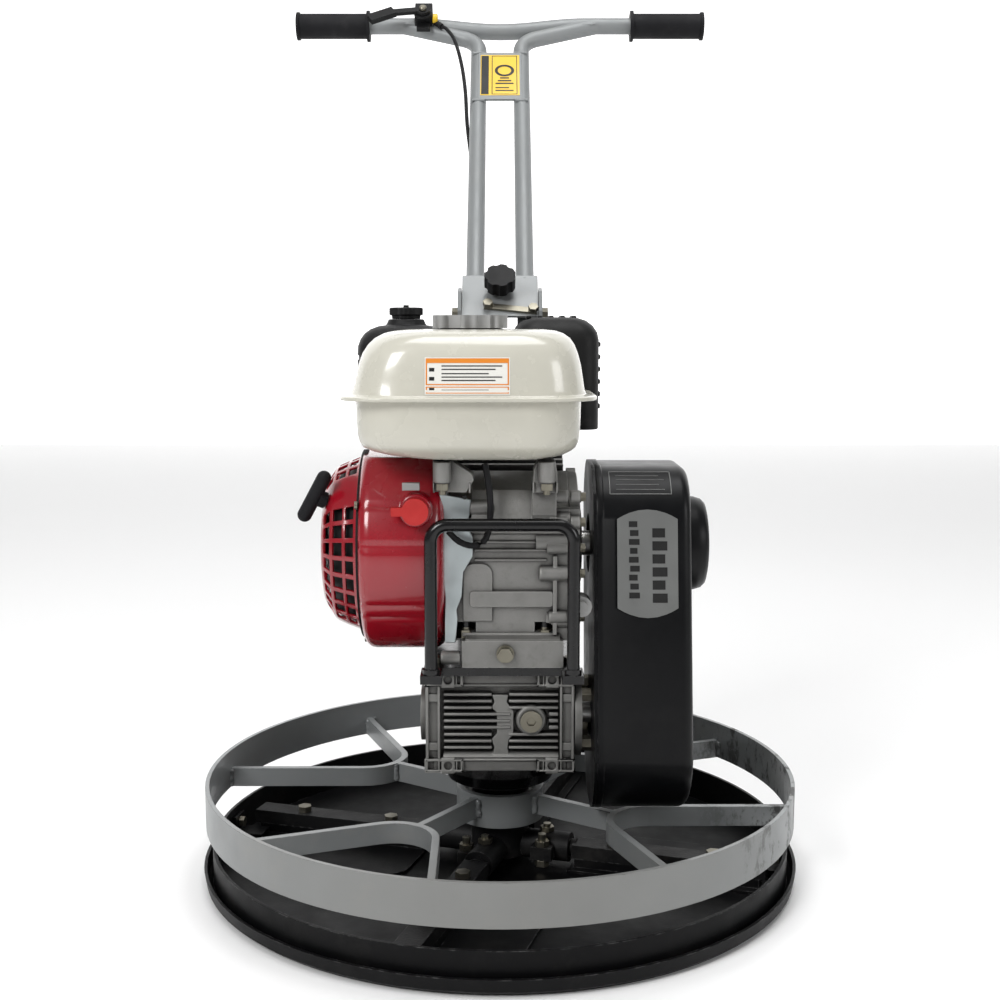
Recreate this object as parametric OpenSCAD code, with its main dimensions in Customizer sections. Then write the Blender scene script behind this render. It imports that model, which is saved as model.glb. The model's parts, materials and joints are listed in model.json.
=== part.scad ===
// Walk-behind power trowel, 600 mm class, with a float pan, a free-running guard
// ring, a worm gearbox, a belt drive, a small petrol engine and a folding handle.
// Origin: the output shaft's axis at floor level. +Z up, +Y towards the operator,
// +X towards the belt drive. Millimetres.

/* [Pan and blades] */
// Outer radius of the float pan's lip
pan_r = 303; // [300:1:310]
// Height of the pan's welded band above the floor
pan_h = 38; // [34:1:42]
// Height of the pan's turned-up lip
lip_h = 17; // [15:1:19]
// Direction of the first trowel arm, in degrees
rotor_angle = 163; // [0:1:360]
// Length of a blade
blade_l = 210; // [200:1:212]

/* [Guard ring] */
// Outer radius of the guard ring
ring_r = 300; // [290:1:305]
// Height of the guard ring's flat bar
ring_h = 40; // [30:1:45]
// Underside of the guard ring above the floor
ring_z = 60; // [58:1:64]
// Direction of the first Y-shaped spoke, in degrees
ring_angle = 55.5; // [0:0.5:360]
// Half the angle between the two ends of a V-shaped bar, in degrees
fork_half = 23; // [21:0.5:24]

/* [Gearbox] */
// Distance between the worm's axis and the output axis
centre_distance = 63; // [63:1:63]
// Height of the gearbox's middle above the floor
gearbox_z = 177; // [177:1:178]
// Height of the gearbox housing
gearbox_h = 98; // [97:1:98]
// Length of the gearbox housing along the worm
gearbox_w = 144; // [142:1:146]
// Hole spacing of the front foot along the worm
foot_x = 100; // [98:1:102]
// Hole spacing of the front foot along the output shaft
foot_z = 85; // [84:1:86]
// Teeth of the worm wheel
wheel_teeth = 30; // [30:1:30]

/* [Engine] */
// Height of the crankshaft above the engine's base
crank_rise = 106; // [106:1:106]
// Place of the crankshaft along Y
crank_y = -25; // [-27:1:-24]
// Left end of the fuel tank's flange
tank_x0 = -147; // [-149:1:-145]
// Right end of the fuel tank's flange
tank_x1 = 89; // [87:1:91]
// Height of the fuel tank's flange above the floor
tank_flange_z = 490; // [488:1:492]
// Top of the fuel tank above the floor
tank_top_z = 552; // [550:1:555]

/* [Belt drive] */
// Pitch radius of the clutch's pulley
drive_r = 35; // [35:1:35]
// Pitch radius of the pulley on the worm shaft
driven_r = 70; // [70:1:70]
// Middle of the belt along X
belt_x = 118; // [117:1:119]

/* [Handle] */
// Lean of the handle above the horizontal, in degrees
handle_lean = 45; // [45:1:45]
// Outer diameter of the handle's tubes
tube_d = 22; // [20:1:22]
// Half the distance between the two long tubes
tube_half = 29; // [28:1:29]
// Half the width of the handlebar
bar_half = 280; // [270:1:290]

/* [Hidden] */
$fn = 64;

// ---- shared places ----
deck_z = gearbox_z + gearbox_h / 2;      // top of the gearbox, underside of the base plate
deck_t = 8;
base_z = deck_z + deck_t;                // the engine's base
crank_z = base_z + crank_rise;
engine_x = 5;                            // middle of the engine's mounting holes
worm_y = -centre_distance;
front_y = -102;                          // the gearbox's front foot
back_y = 72;
case_x0 = -50;                           // left face of the crankcase
case_x1 = 66;                            // joint between crankcase and cover
oil_x = 76.5;                            // the oil filler, from the crankshaft
oil_z = -46;
cover_x1 = 80;                           // outer face of the crankcase cover
arm_z = 22;
blade_z = 3.2;
pivot = [0, 208, 566];                   // the handle's pivot
steel = [0.62, 0.64, 0.66];
casting = [0.62, 0.62, 0.61];
black = [0.06, 0.06, 0.065];
red = [0.60, 0.03, 0.05];
ring_grey = [0.52, 0.54, 0.55];

// ---- helpers ----
module xcyl(x0, x1, r) translate([x0, 0, 0]) rotate([0, 90, 0]) cylinder(h = x1 - x0, r = r);
module ycyl(y0, y1, r) translate([0, y0, 0]) rotate([-90, 0, 0]) cylinder(h = y1 - y0, r = r);
module box(a, b) translate(a) cube(b - a);
module on_crank() translate([0, crank_y, crank_z]) children();
module on_worm() translate([0, worm_y, gearbox_z]) children();
module quarters(first) for (k = [0:3]) rotate([0, 0, first + 90 * k]) children();
// a profile of [radius, x] points turned about the X axis
module turned_x(profile) rotate([0, 90, 0]) rotate_extrude() polygon(profile);
module hex_x(x0, x1, af) translate([x0, 0, 0]) rotate([0, 90, 0]) cylinder(h = x1 - x0,
    d = af / cos(30), $fn = 6);
module hex_z(z0, z1, af) translate([0, 0, z0]) cylinder(h = z1 - z0, d = af / cos(30), $fn = 6);
// places of the four engine mounting bolts
mount_x = [engine_x - 37.75, engine_x + 37.75];
mount_y = [crank_y - 71, crank_y + 91];
// a box with its four upright edges rounded
module rounded_box(a, b, r) translate([a[0], a[1], a[2]]) linear_extrude(b[2] - a[2])
  rounded_outline(b[0] - a[0], b[1] - a[1], r);
module rounded_outline(w, d, r) union() {
  translate([r, 0]) square([w - 2 * r, d]);
  translate([0, r]) square([w, d - 2 * r]);
  for (x = [r, w - r], y = [r, d - r]) translate([x, y]) circle(r);
}
// a pressed shape between plan corners a and b: corner radius r, and a wall given as
// [inset, height] points, which has to be convex
module pressed(a, b, r, wall) hull() for (p = wall) translate([a[0] + p[0], a[1] + p[0], p[1] - 0.005])
  linear_extrude(0.01) rounded_outline(b[0] - a[0] - 2 * p[0], b[1] - a[1] - 2 * p[0], r - p[0],
      $fn = 32);
function arc(c, r, a0, a1, n) = [for (i = [0:n]) let (a = a0 + (a1 - a0) * i / n) [c[0] + r * cos(a),
    c[1] + r * sin(a)]];

// ---- pan, blades and spider ----
module float_pan() color([0.08, 0.08, 0.085]) union() {
  rotate_extrude($fn = 180) polygon([
    [0, 0], [pan_r - 8, 0], [pan_r - 2, 5], [pan_r, lip_h], [pan_r - 3, lip_h],
    [pan_r - 5, 7], [pan_r - 9.5, 3], [0, 3]
  ]);
  translate([0, 0, 2]) difference() {
    cylinder(h = pan_h - 2, r = pan_r - 9, $fn = 180);
    translate([0, 0, -1]) cylinder(h = pan_h, r = pan_r - 12, $fn = 180);
  }
}

bolt_at = [122, 223];                    // the blade bolts' distances from the output axis
arm_w = 25;
module blades() color([0.10, 0.10, 0.10]) quarters(rotor_angle) translate([0, 0, blade_z]) difference() {
  union() {
    linear_extrude(3) polygon([
      [78, -22], [58 + blade_l, -22], [66 + blade_l, -8], [66 + blade_l, 70],
      [52 + blade_l, 88], [92, 88], [78, 70]
    ]);
    box([83, -arm_w / 2, 2.5], [60 + blade_l, arm_w / 2, arm_z - 7 - blade_z]);
  }
  for (x = bolt_at) translate([x, 0, -1]) cylinder(h = 30, r = 4.2);
}

module trowel_arms() color([0.12, 0.12, 0.12]) quarters(rotor_angle) translate([0, 0, arm_z])
    difference() {
  union() {
    box([80, -arm_w / 2, -7], [66 + blade_l, arm_w / 2, 7]);
    xcyl(34, 82, 9);
  }
  for (x = bolt_at) translate([x, 0, -20]) cylinder(h = 40, r = 4.2);
}

module spider() color([0.10, 0.10, 0.10]) difference() {
  union() {
    translate([0, 0, 12]) cylinder(h = 33, r = 30);
    quarters(rotor_angle) translate([0, 0, arm_z]) {
      xcyl(20, 76, 15);
      box([40, -26, -8], [62, -8, 6]);
    }
  }
  translate([0, 0, 5]) cylinder(h = 50, r = 12.6);
  quarters(rotor_angle) translate([0, 0, arm_z]) {
    xcyl(33, 80, 9.1);
    translate([51, 0, 8]) cylinder(h = 20, r = 4);
    translate([51, -20, -20]) cylinder(h = 40, r = 4.2);
  }
}

// hooks on the pan's band that hold the blades down
clip_turns = [6.5, 16];                  // the clips' directions from the arm
module pan_clips() color([0.14, 0.14, 0.145]) quarters(rotor_angle) for (turn = clip_turns) rotate([0,
    0, turn])
  difference() {
    union() {
      box([286.2, -12, 3.1], [289.6, 12, 30]);
      box([258, -12, 10.3], [288, 12, 13.5]);
    }
    translate([0, 0, 22]) xcyl(280, 295, 3.2);
  }

module rotor_fasteners() color([0.55, 0.55, 0.53]) {
  quarters(rotor_angle) {
    for (x = bolt_at) translate([x, 0, 0]) {
      translate([0, 0, blade_z]) cylinder(h = arm_z + 7 - blade_z + 1, r = 4);
      hex_z(arm_z + 7.05, arm_z + 13, 13);
    }
    // set screw over the arm's root, and the pitch screw beside it
    translate([51, 0, 0]) {
      translate([0, 0, arm_z + 9.2]) cylinder(h = 14, r = 3.9);
      hex_z(arm_z + 15.2, arm_z + 20, 13);
    }
    translate([51, -20, 0]) {
      translate([0, 0, arm_z - 15]) cylinder(h = 34, r = 4);
      hex_z(arm_z + 6.1, arm_z + 12, 13);
      hex_z(arm_z - 14.5, arm_z - 8.1, 13);
    }
    for (turn = clip_turns) rotate([0, 0, turn]) translate([0, 0, 22]) {
      hex_x(281, 286.1, 10);
      xcyl(285.5, 289.7, 3);
    }
  }
  // washer and bolt under the shaft
  translate([0, 0, 9]) cylinder(h = 2.9, r = 20);
  hex_z(4, 9.5, 16);
}

// the hollow wheel shaft carries the solid output shaft
module output_shaft() color(steel) union() {
  translate([0, 0, 12]) cylinder(h = deck_z - 14, r = 12.5);
  translate([0, 0, deck_z - 2.2]) cylinder(h = 1.6, r = 15);
}

module worm_wheel() color([0.72, 0.52, 0.25]) difference() {
  union() {
    translate([0, 0, gearbox_z - 47]) cylinder(h = 93.5, r = 20);
    translate([0, 0, gearbox_z - 12]) cylinder(h = 24, r = 42);
    for (k = [0:wheel_teeth - 1])
      rotate([0, 0, (k + 0.5) * 360 / wheel_teeth]) translate([40, 0, gearbox_z])
        rotate([-10.5, 0, 0]) cube([13, 3, 20], center = true);
  }
  translate([0, 0, gearbox_z - 60]) cylinder(h = 120, r = 12.6);
}

// ---- worm and pulley ----
worm_lead = 19.8;
thread_l = 48;
module worm_thread() {
  // two starts: lobes that point up and down at the middle of the thread
  lobe = concat(arc([0, 0], 17.5, -24, 24, 2), arc([0, 0], 13.5, 44, 136, 3),
                arc([0, 0], 17.5, 156, 204, 2), arc([0, 0], 13.5, 224, 316, 3));
  translate([-thread_l / 2, 0, 0]) rotate([0, 90, 0])
    rotate([0, 0, -360 * thread_l / 2 / worm_lead])
      linear_extrude(thread_l, twist = -360 * thread_l / worm_lead, slices = 36, segments = len(lobe))
          polygon(lobe);
}
module worm_shaft() color(steel) on_worm() union() {
  worm_thread();
  xcyl(-71, -23, 10);
  xcyl(23, 136, 10);
}

module driven_pulley() color([0.25, 0.25, 0.26]) on_worm() difference() {
  turned_x([
    [0, belt_x - 14], [22, belt_x - 14], [22, belt_x - 9], [driven_r + 5, belt_x - 9],
    [driven_r + 5, belt_x - 7.5], [driven_r - 8, belt_x - 5.2], [driven_r - 8, belt_x + 5.2],
    [driven_r + 5, belt_x + 7.5], [driven_r + 5, belt_x + 9], [22, belt_x + 9],
    [22, belt_x + 16], [0, belt_x + 16]
  ]);
  xcyl(0, 200, 10.1);
  for (k = [0:4]) rotate([72 * k, 0, 0]) translate([0, 42, 0]) xcyl(0, 200, 11);
}

// ---- guard ring ----
module guard_ring() color(ring_grey) translate([0, 0, ring_z]) difference() {
  cylinder(h = ring_h, r = ring_r, $fn = 180);
  translate([0, 0, -1]) cylinder(h = ring_h + 2, r = ring_r - 4, $fn = 180);
}

fork_h = 20;
fork_t = 7;
apex_r = 138;                            // distance of the V's apex from the axis
hub_r = 45;
// centre line of one V-shaped bar: straight, a bend at the apex, straight
fork_end = [(ring_r - 2) * cos(fork_half), (ring_r - 2) * sin(fork_half)];
fork_slope = 35;
bend_r = 42;
bend_centre = [apex_r + bend_r, 0];
bend_end = [bend_centre[0] - bend_r * sin(fork_slope), bend_r * cos(fork_slope)];
module bar_between(a, b, t, h) {
  d = b - a;
  translate(a) rotate([0, 0, atan2(d[1], d[0])]) translate([0, -t / 2, 0]) cube([norm(d), t, h]);
}
module guard_fork() translate([0, 0, ring_z]) union() {
  for (side = [1, -1])
    bar_between([bend_end[0], side * bend_end[1], 0], [fork_end[0], side * fork_end[1], 0], fork_t,
        fork_h);
  translate([bend_centre[0], 0, 0])
    rotate([0, 0, 90 + fork_slope]) rotate_extrude(angle = 180 - 2 * fork_slope)
      translate([bend_r - fork_t / 2, 0]) square([fork_t, fork_h]);
  box([hub_r - 3, -fork_t / 2, 0], [apex_r + 1, fork_t / 2, fork_h]);
}
module guard_spokes() color(ring_grey) difference() {
  union() {
    quarters(ring_angle) guard_fork();
    translate([0, 0, 50]) cylinder(h = 33, r = hub_r);
  }
  translate([0, 0, 45]) cylinder(h = 50, r = 33);
  translate([0, 0, 56]) cylinder(h = 40, r = 38.02);
}
module guard_hub_bearing() color(steel) translate([0, 0, 56.1]) difference() {
  cylinder(h = 18, r = 38);
  translate([0, 0, -1]) cylinder(h = 20, r = 25 + 0.06);
  for (z = [-1, 16.5]) translate([0, 0, z]) difference() {
    cylinder(h = 2.5, r = 34);
    cylinder(h = 2.5, r = 29);
  }
}

// ---- gearbox ----
gb_x = gearbox_w / 2;
module foot_holes(depth) for (x = [-foot_x / 2, foot_x / 2], z = [-foot_z / 2, foot_z / 2])
  translate([x, 0, gearbox_z + z]) ycyl(front_y - 1, front_y + depth, 4);
module gearbox_housing() color(casting) difference() {
  union() {
    // body between the four ribs, and the rim round the front
    box([-gb_x + 6, front_y + 6, gearbox_z - 43], [gb_x - 6, back_y - 6, gearbox_z + 43]);
    translate([0, 0, gearbox_z - gearbox_h / 2]) cylinder(h = gearbox_h, r = 60);
    for (s = [-1, 1]) {
      box([s * (gb_x - 6) - 6, front_y, gearbox_z - 44], [s * (gb_x - 6) + 6, back_y, gearbox_z + 44]);
      box([-gb_x + 3, front_y + 1, gearbox_z + s * 44 - 5], [gb_x - 3, back_y - 2, gearbox_z + s * 44 +
          5]);
    }
    // corner feet with their tapped holes
    for (x = [-1, 1], z = [-1, 1], y = [front_y, back_y - 30])
      box([x * (gb_x - 18) - 18, y, gearbox_z + z * (gearbox_h / 2 - 8) - 8],
          [x * (gb_x - 18) + 18, y + 30, gearbox_z + z * (gearbox_h / 2 - 8) + 8]);
    // cooling fins on the front
    for (k = [-3:3]) box([-gb_x + 14, front_y + 2, gearbox_z + k * 10 - 1.6], [gb_x - 14, front_y + 14,
        gearbox_z + k * 10 + 1.6]);
    // fins on both ends
    for (s = [-1, 1], k = [-2:2]) box([s * (gb_x - 3) - 3, front_y + 8, gearbox_z + k * 14 - 1.5],
        [s * (gb_x - 3) + 3, back_y - 8, gearbox_z + k * 14 + 1.5]);
    // boss of the oil plug
    translate([30, 0, gearbox_z + 2]) ycyl(front_y + 1, front_y + 20, 13);
  }
  // wheel chamber, worm chamber and bearing seats
  translate([0, 0, gearbox_z - 20]) cylinder(h = 40, r = 50);
  translate([0, 0, gearbox_z - 60]) cylinder(h = 120, r = 26);
  for (z = [gearbox_z - 60, gearbox_z + 31]) translate([0, 0, z]) cylinder(h = 29, r = 34.02);
  on_worm() {
    xcyl(-56, 56, 22);
    xcyl(-gb_x - 5, -50, 23.52);
    xcyl(50, gb_x + 5, 23.52);
  }
  foot_holes(18);
  // slots cast beside each hole of the front feet
  for (x = [-foot_x / 2, foot_x / 2], z = [-foot_z / 2, foot_z / 2], s = [-1, 1])
    translate([x + s * 10 - 1.5, front_y - 1, gearbox_z + z - 4]) cube([3, 9, 8]);
  translate([30, 0, gearbox_z + 2]) ycyl(front_y - 1, front_y + 30, 7);
}

module worm_bearing_caps() color(casting) on_worm() {
  // blind cap on the left, open flange on the belt's side
  xcyl(-gb_x - 5, -gb_x + 1, 23);
  xcyl(-gb_x - 5, -gb_x - 0.1, 27);
  difference() {
    union() {
      xcyl(gb_x + 0.1, gb_x + 7, 42);
      xcyl(gb_x - 1, gb_x + 1, 23);
    }
    xcyl(50, 100, 10.4);
    for (k = [0:3]) rotate([45 + 90 * k, 0, 0]) translate([0, 34, 0]) xcyl(60, 100, 4.1);
  }
}

module gearbox_plug() translate([30, 0, gearbox_z + 2]) difference() {
  union() {
    ycyl(front_y - 3, front_y + 0.9, 10.5);
    ycyl(front_y - 1, front_y + 16, 6.9);
  }
  translate([0, front_y - 4, 0]) rotate([-90, 0, 0]) cylinder(h = 4, d = 9, $fn = 6);
}

// flange under the gearbox, with the spigot that the guard ring turns on
module output_flange() color(black) difference() {
  rotate_extrude() polygon([
    [0, 88], [42, 88], [54, 94], [60, 106], [60, 127.9], [0, 127.9]
  ]);
  translate([0, 0, 80]) cylinder(h = 60, r = 13.2);
}
module ring_spigot() difference() {
  union() {
    translate([0, 0, 50]) cylinder(h = 38, r = 25);
    translate([0, 0, 74.2]) cylinder(h = 13.8, r = 29);
    translate([0, 0, 52.5]) cylinder(h = 3.4, r = 28.5);
  }
  translate([0, 0, 45]) cylinder(h = 60, r = 13.2);
}

module bearing(r_out, r_in, w) difference() {
  cylinder(h = w, r = r_out);
  translate([0, 0, -1]) cylinder(h = w + 2, r = r_in);
  for (z = [-1, w - 1]) translate([0, 0, z]) difference() {
    cylinder(h = 2, r = r_out - 4);
    cylinder(h = 2, r = r_in + 3);
  }
}
module shaft_bearings() color(steel) {
  for (z = [gearbox_z - 46, gearbox_z + 31]) translate([0, 0, z]) bearing(34, 20.06, 15);
  on_worm() for (x = [-gb_x + 3, gb_x - 17]) translate([x, 0, 0]) rotate([0, 90, 0]) bearing(23.5,
      10.06, 14);
  on_crank() for (x = [case_x0 + 2, case_x1 - 4]) translate([x, 0, 0]) rotate([0, 90, 0]) bearing(26,
      12.56, 15);
}

// ---- frame ----
plate_y0 = -112;
deck_bolt_x = [-62, 68];                 // bolts that hold the base plate to the gearbox
deck_bolt_y = [-88, 50];
plate_y1 = 240;
module base_plate() color(black) difference() {
  union() {
    box([-72, plate_y0, deck_z], [76, 90, deck_z + deck_t]);
    // lugs that carry the front guard
    for (x = guard_x) box([x - 10, guard_y - 8, deck_z], [x + 10, plate_y0 + 1, deck_z + deck_t]);
    box([-46, 89, deck_z], [46, plate_y1, deck_z + deck_t]);
    // folded side flanges along the tongue
    for (s = [-1, 1]) box([s * 44 - 3, 88, deck_z - 26], [s * 44 + 3, plate_y1, deck_z + 1]);
  }
  for (x = mount_x, y = mount_y) translate([x, y, deck_z - 5]) cylinder(h = 30, r = 4.02);
  for (x = deck_bolt_x, y = deck_bolt_y) translate([x, y, deck_z - 5]) cylinder(h = 30, r = 4.2);
}

guard_d = 12;
guard_x = [-64, 68];
guard_top = 374;
guard_y = -135.5;
corner_r = 16;
module front_guard() color(black) translate([0, guard_y, 0]) union() {
  for (x = guard_x) translate([x, 0, base_z + 0.1]) cylinder(h = guard_top - corner_r - base_z - 0.1,
      d = guard_d);
  translate([0, 0, guard_top]) xcyl(guard_x[0] + corner_r, guard_x[1] - corner_r, guard_d / 2);
  for (s = [0, 1]) translate([guard_x[s] + (s ? -corner_r : corner_r), 0, guard_top - corner_r])
    rotate([90, 0, 0]) rotate([0, 0, s ? 0 : 90]) rotate_extrude(angle = 90) translate([corner_r, 0])
        circle(d = guard_d);
  // feet welded on the base plate
  for (x = guard_x) translate([x, 0, base_z + 0.1]) cylinder(h = 5, r = 8);
}

bracket_w = 48;                          // half the bracket's outer width
module handle_bracket() color(ring_grey) union() {
  for (s = [-1, 1]) difference() {
    translate([s * (bracket_w - 2) - 2, 0, 0]) rotate([90, 0, 90]) linear_extrude(4) polygon([
      [150, base_z + 0.1], [236, base_z + 0.1], [236, 560], [228, 590], [214, 598],
      [196, 594], [186, 572], [184, 480]
    ]);
    translate(pivot) xcyl(-60, 60, 5.05);
  }
  // web at the back, foot plate and cross tie
  box([-bracket_w + 2, 232, base_z + 0.1], [bracket_w - 2, 236, 500]);
  box([-bracket_w, 150, base_z + 0.1], [bracket_w, 236, base_z + 5]);
}

// ---- belt drive ----
guard_x0 = 88;
guard_x1 = 181;
// outline of the belt guard in the Y-Z plane, from four corner circles, grown by g
function guard_outline(g) = concat(
  arc([-74, 162], 74 + g, 187, 265, 10), arc([-52, 162], 74 + g, 275, 352, 10),
  arc([2, 367], 54 + g, 4, 88, 9), arc([-50, 367], 54 + g, 92, 172, 9));
module guard_shape(x0, x1, g) translate([x0, 0, 0]) rotate([90, 0, 90]) linear_extrude(x1 - x0)
  polygon(guard_outline(g));
module belt_guard_cover() color(black) difference() {
  union() {
    guard_shape(guard_x0 + 3.1, guard_x1 - 8, 0);
    guard_shape(guard_x1 - 8.1, guard_x1 - 3, -3);
    guard_shape(guard_x1 - 3.1, guard_x1, -8);
    on_crank() turned_x([[0, guard_x1 - 1], [47, guard_x1 - 1], [47, guard_x1 + 16], [40, guard_x1 +
        23], [0, guard_x1 + 23]]);
  }
  guard_shape(guard_x0, guard_x1 - 12, -3);
  guard_shape(guard_x0, guard_x1 - 3, -10.5);
  on_crank() xcyl(guard_x1 - 5, guard_x1 + 20, 39);
  for (p = cover_screws) translate([0, p[0], p[1]]) xcyl(guard_x1 - 8, guard_x1 + 5, 3.2);
}
cover_screws = [[-58, 294], [-62, 262]];
module belt_guard_back() color(black) difference() {
  guard_shape(guard_x0, guard_x0 + 3, 0);
  on_worm() xcyl(80, 100, 25);
  on_crank() xcyl(80, 100, 30);
  for (k = [0:3]) on_worm() rotate([45 + 90 * k, 0, 0]) translate([0, 34, 0]) xcyl(80, 100, 4.1);
}

module machine_screws() color([0.70, 0.68, 0.60]) {
  gearbox_plug();
  // studs and spacers between the gearbox's flange and the guard
  on_worm() for (k = [0:3]) rotate([45 + 90 * k, 0, 0]) translate([0, 34, 0]) {
    xcyl(gb_x + 0.2, guard_x0 + 10, 4);
    hex_x(gb_x + 7.05, guard_x0 - 0.05, 13);
    hex_x(guard_x0 + 3.05, guard_x0 + 8, 13);
  }
  for (p = cover_screws) translate([0, p[0], p[1]]) {
    xcyl(guard_x1 - 6, guard_x1 + 1, 3);
    hex_x(guard_x1 + 0.05, guard_x1 + 5, 10);
  }
  // bolts that hold the base plate to the gearbox
  for (x = deck_bolt_x, y = deck_bolt_y) translate([x, y, 0]) hex_z(base_z + 0.05, base_z + 5, 13);
  // studs from the base plate through the engine's feet, with their nuts
  for (x = mount_x, y = mount_y) translate([x, y, 0]) {
    translate([0, 0, deck_z + 0.3]) cylinder(h = deck_t + 36, r = 4);
    hex_z(base_z + 26.05, base_z + 34, 13);
  }
  // drain bolt with its washer
  translate([engine_x, 0, base_z + 14]) {
    ycyl(crank_y - 91, crank_y - 88.1, 8.5);
    translate([0, crank_y - 91, 0]) rotate([90, 0, 0]) cylinder(h = 6, d = 13 / cos(30), $fn = 6);
    ycyl(crank_y - 88.2, crank_y - 70, 4.8);
  }
  // screws of the recoil cover
  for (k = [0:2]) on_crank() rotate([30 + 120 * k, 0, 0]) translate([0, 97, 0]) xcyl(fan_x0 - 3,
      fan_x0 - 0.1, 4);
}

// the belt runs on the outside of both pulleys
belt_span = [crank_y - worm_y, crank_z - gearbox_z];
belt_tilt = atan2(belt_span[1], belt_span[0]);
belt_wrap = acos((driven_r - drive_r) / norm(belt_span));
function belt_outline(g) = concat(
  arc([0, 0], driven_r + g, belt_tilt + belt_wrap, belt_tilt + 360 - belt_wrap, 40),
  arc(belt_span, drive_r + g, belt_tilt - belt_wrap, belt_tilt + belt_wrap, 20));
module drive_belt() color([0.05, 0.05, 0.05]) on_worm() translate([belt_x - 4.5, 0, 0]) rotate([90, 0,
    90])
  linear_extrude(9) difference() {
    polygon(belt_outline(4));
    polygon(belt_outline(-4));
  }

// ---- engine ----
cyl_tilt = 25;                           // rise of the cylinder above the horizontal
// along the cylinder's axis, which leaves the crankshaft towards +Y and up
module on_cylinder() on_crank() rotate([cyl_tilt, 0, 0]) children();
cyl_x = 8;                               // middle of the cylinder along X

module crankcase() color(casting) difference() {
  union() {
    box([case_x0, crank_y - 76, base_z + 24], [case_x1, crank_y + 62, crank_z + 44]);
    on_crank() xcyl(case_x0, case_x1, 72);
    box([case_x0 + 14, crank_y - 88, base_z + 0.1], [case_x1 - 6, crank_y + 106, base_z + 26]);
    on_cylinder() {
      translate([cyl_x, 0, 0]) ycyl(30, 104, 44);
      for (k = [0:4]) box([cyl_x - 58, 58 + k * 10, -56], [cyl_x + 56, 61 + k * 10, 56]);
    }
    // ribs and bosses on the front
    for (z = [crank_z + 24, crank_z + 34]) translate([0, crank_y - 76, z]) xcyl(case_x0 + 4,
        case_x1 - 4, 4);
    for (p = [[crank_z + 34, 40], [crank_z + 12, 34], [crank_z - 62, 44]])
      translate([0, crank_y - 72, p[0]]) xcyl(p[1], case_x1, 9);
  }
  on_crank() {
    xcyl(case_x0 + 16, case_x1 + 1, 58);
    xcyl(case_x0 - 1, case_x0 + 17.1, 26.02);
  }
  on_cylinder() translate([cyl_x, 0, 0]) ycyl(20, 110, 34);
  for (x = mount_x, y = mount_y) translate([x, y, base_z - 1]) {
    cylinder(h = 40, r = 4.5);
    translate([0, 0, 27]) cylinder(h = 16, r = 11);
  }
  translate([engine_x, crank_y - 95, base_z + 14]) rotate([-90, 0, 0]) cylinder(h = 30, r = 5);
}

// the cover's outline in the Y-Z plane about the crankshaft
cover_bolt_r = 66;
module cover_outline() {
  circle(71);
  translate([-76, -70]) square([136, 114]);
  for (a = [20:60:320]) rotate(a) translate([cover_bolt_r, 0]) circle(9);
}
module crankcase_cover() color(casting) on_crank() difference() {
  union() {
    translate([case_x1 + 0.1, 0, 0]) rotate([90, 0, 90]) linear_extrude(9) cover_outline();
    xcyl(case_x1 + 9, cover_x1 - 2, 52);
    xcyl(cover_x1 - 2.1, cover_x1, 34);
    // boss of the oil filler, low at the front
    translate([oil_x, 0, oil_z]) ycyl(-86, -70, 9.5);
  }
  xcyl(case_x1 - 5, case_x1 + 11, 26.02);
  xcyl(case_x1, cover_x1 + 2, 13);
}

module cylinder_head() color(casting) on_cylinder() difference() {
  union() {
    box([cyl_x - 46, 104.1, -46], [cyl_x + 46, 130, 46]);
    for (k = [0:3]) box([cyl_x - 58, 106 + k * 7, -56], [cyl_x + 56, 108.5 + k * 7, 56]);
    translate([cyl_x, 0, 0]) ycyl(104.02, 104.2, 40);
  }
  translate([cyl_x, 0, 0]) ycyl(102, 112, 30);
  translate([cyl_x - 70, 118, 0]) rotate([0, 90, 0]) cylinder(h = 40, r = 7);
}
module rocker_cover() color([0.16, 0.16, 0.17]) on_cylinder() difference() {
  translate([cyl_x, 130.1, 0]) rotate([-90, 0, 0]) translate([-40, -34, 0]) linear_extrude(26)
      rounded_outline(80, 68, 16);
  translate([cyl_x, 129, 0]) rotate([-90, 0, 0]) translate([-37, -31, 0]) linear_extrude(24)
      rounded_outline(74, 62, 13);
  translate([cyl_x, 0, 0]) ycyl(150, 160, 4.2);
}
module spark_plug() color([0.75, 0.73, 0.70]) on_cylinder() union() {
  translate([0, 118, 0]) xcyl(cyl_x - 62, cyl_x - 31, 6.9);
  translate([0, 118, 0]) hex_x(cyl_x - 66, cyl_x - 58.1, 21);
  translate([0, 118, 0]) xcyl(cyl_x - 84, cyl_x - 65, 8);
}

module muffler() color([0.20, 0.19, 0.18]) union() {
  difference() {
    rounded_box([18, 62, 448], [92, 160, 548], 16);
    rounded_box([20, 64, 450], [90, 158, 546], 14);
  }
  // inlet pipe from the head, and the outlet
  translate([50, 86, 440]) cylinder(h = 10, r = 10);
  difference() {
    translate([55, 0, 470]) ycyl(159, 176, 11);
    translate([55, 0, 470]) ycyl(157.5, 178, 9);
  }
}
module muffler_shield() color([0.10, 0.10, 0.10]) difference() {
  rounded_box([12, 54, 446.5], [104, 168, 564], 20);
  rounded_box([14, 56, 440], [102, 166, 561], 18);
  for (z = [0:5]) box([100, 74, 462 + z * 14], [106, 150, 467 + z * 14]);
  for (x = [0:4]) box([28 + x * 14, 76, 558], [35 + x * 14, 148, 566]);
  translate([55, 0, 470]) ycyl(160, 172, 16);
}

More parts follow.
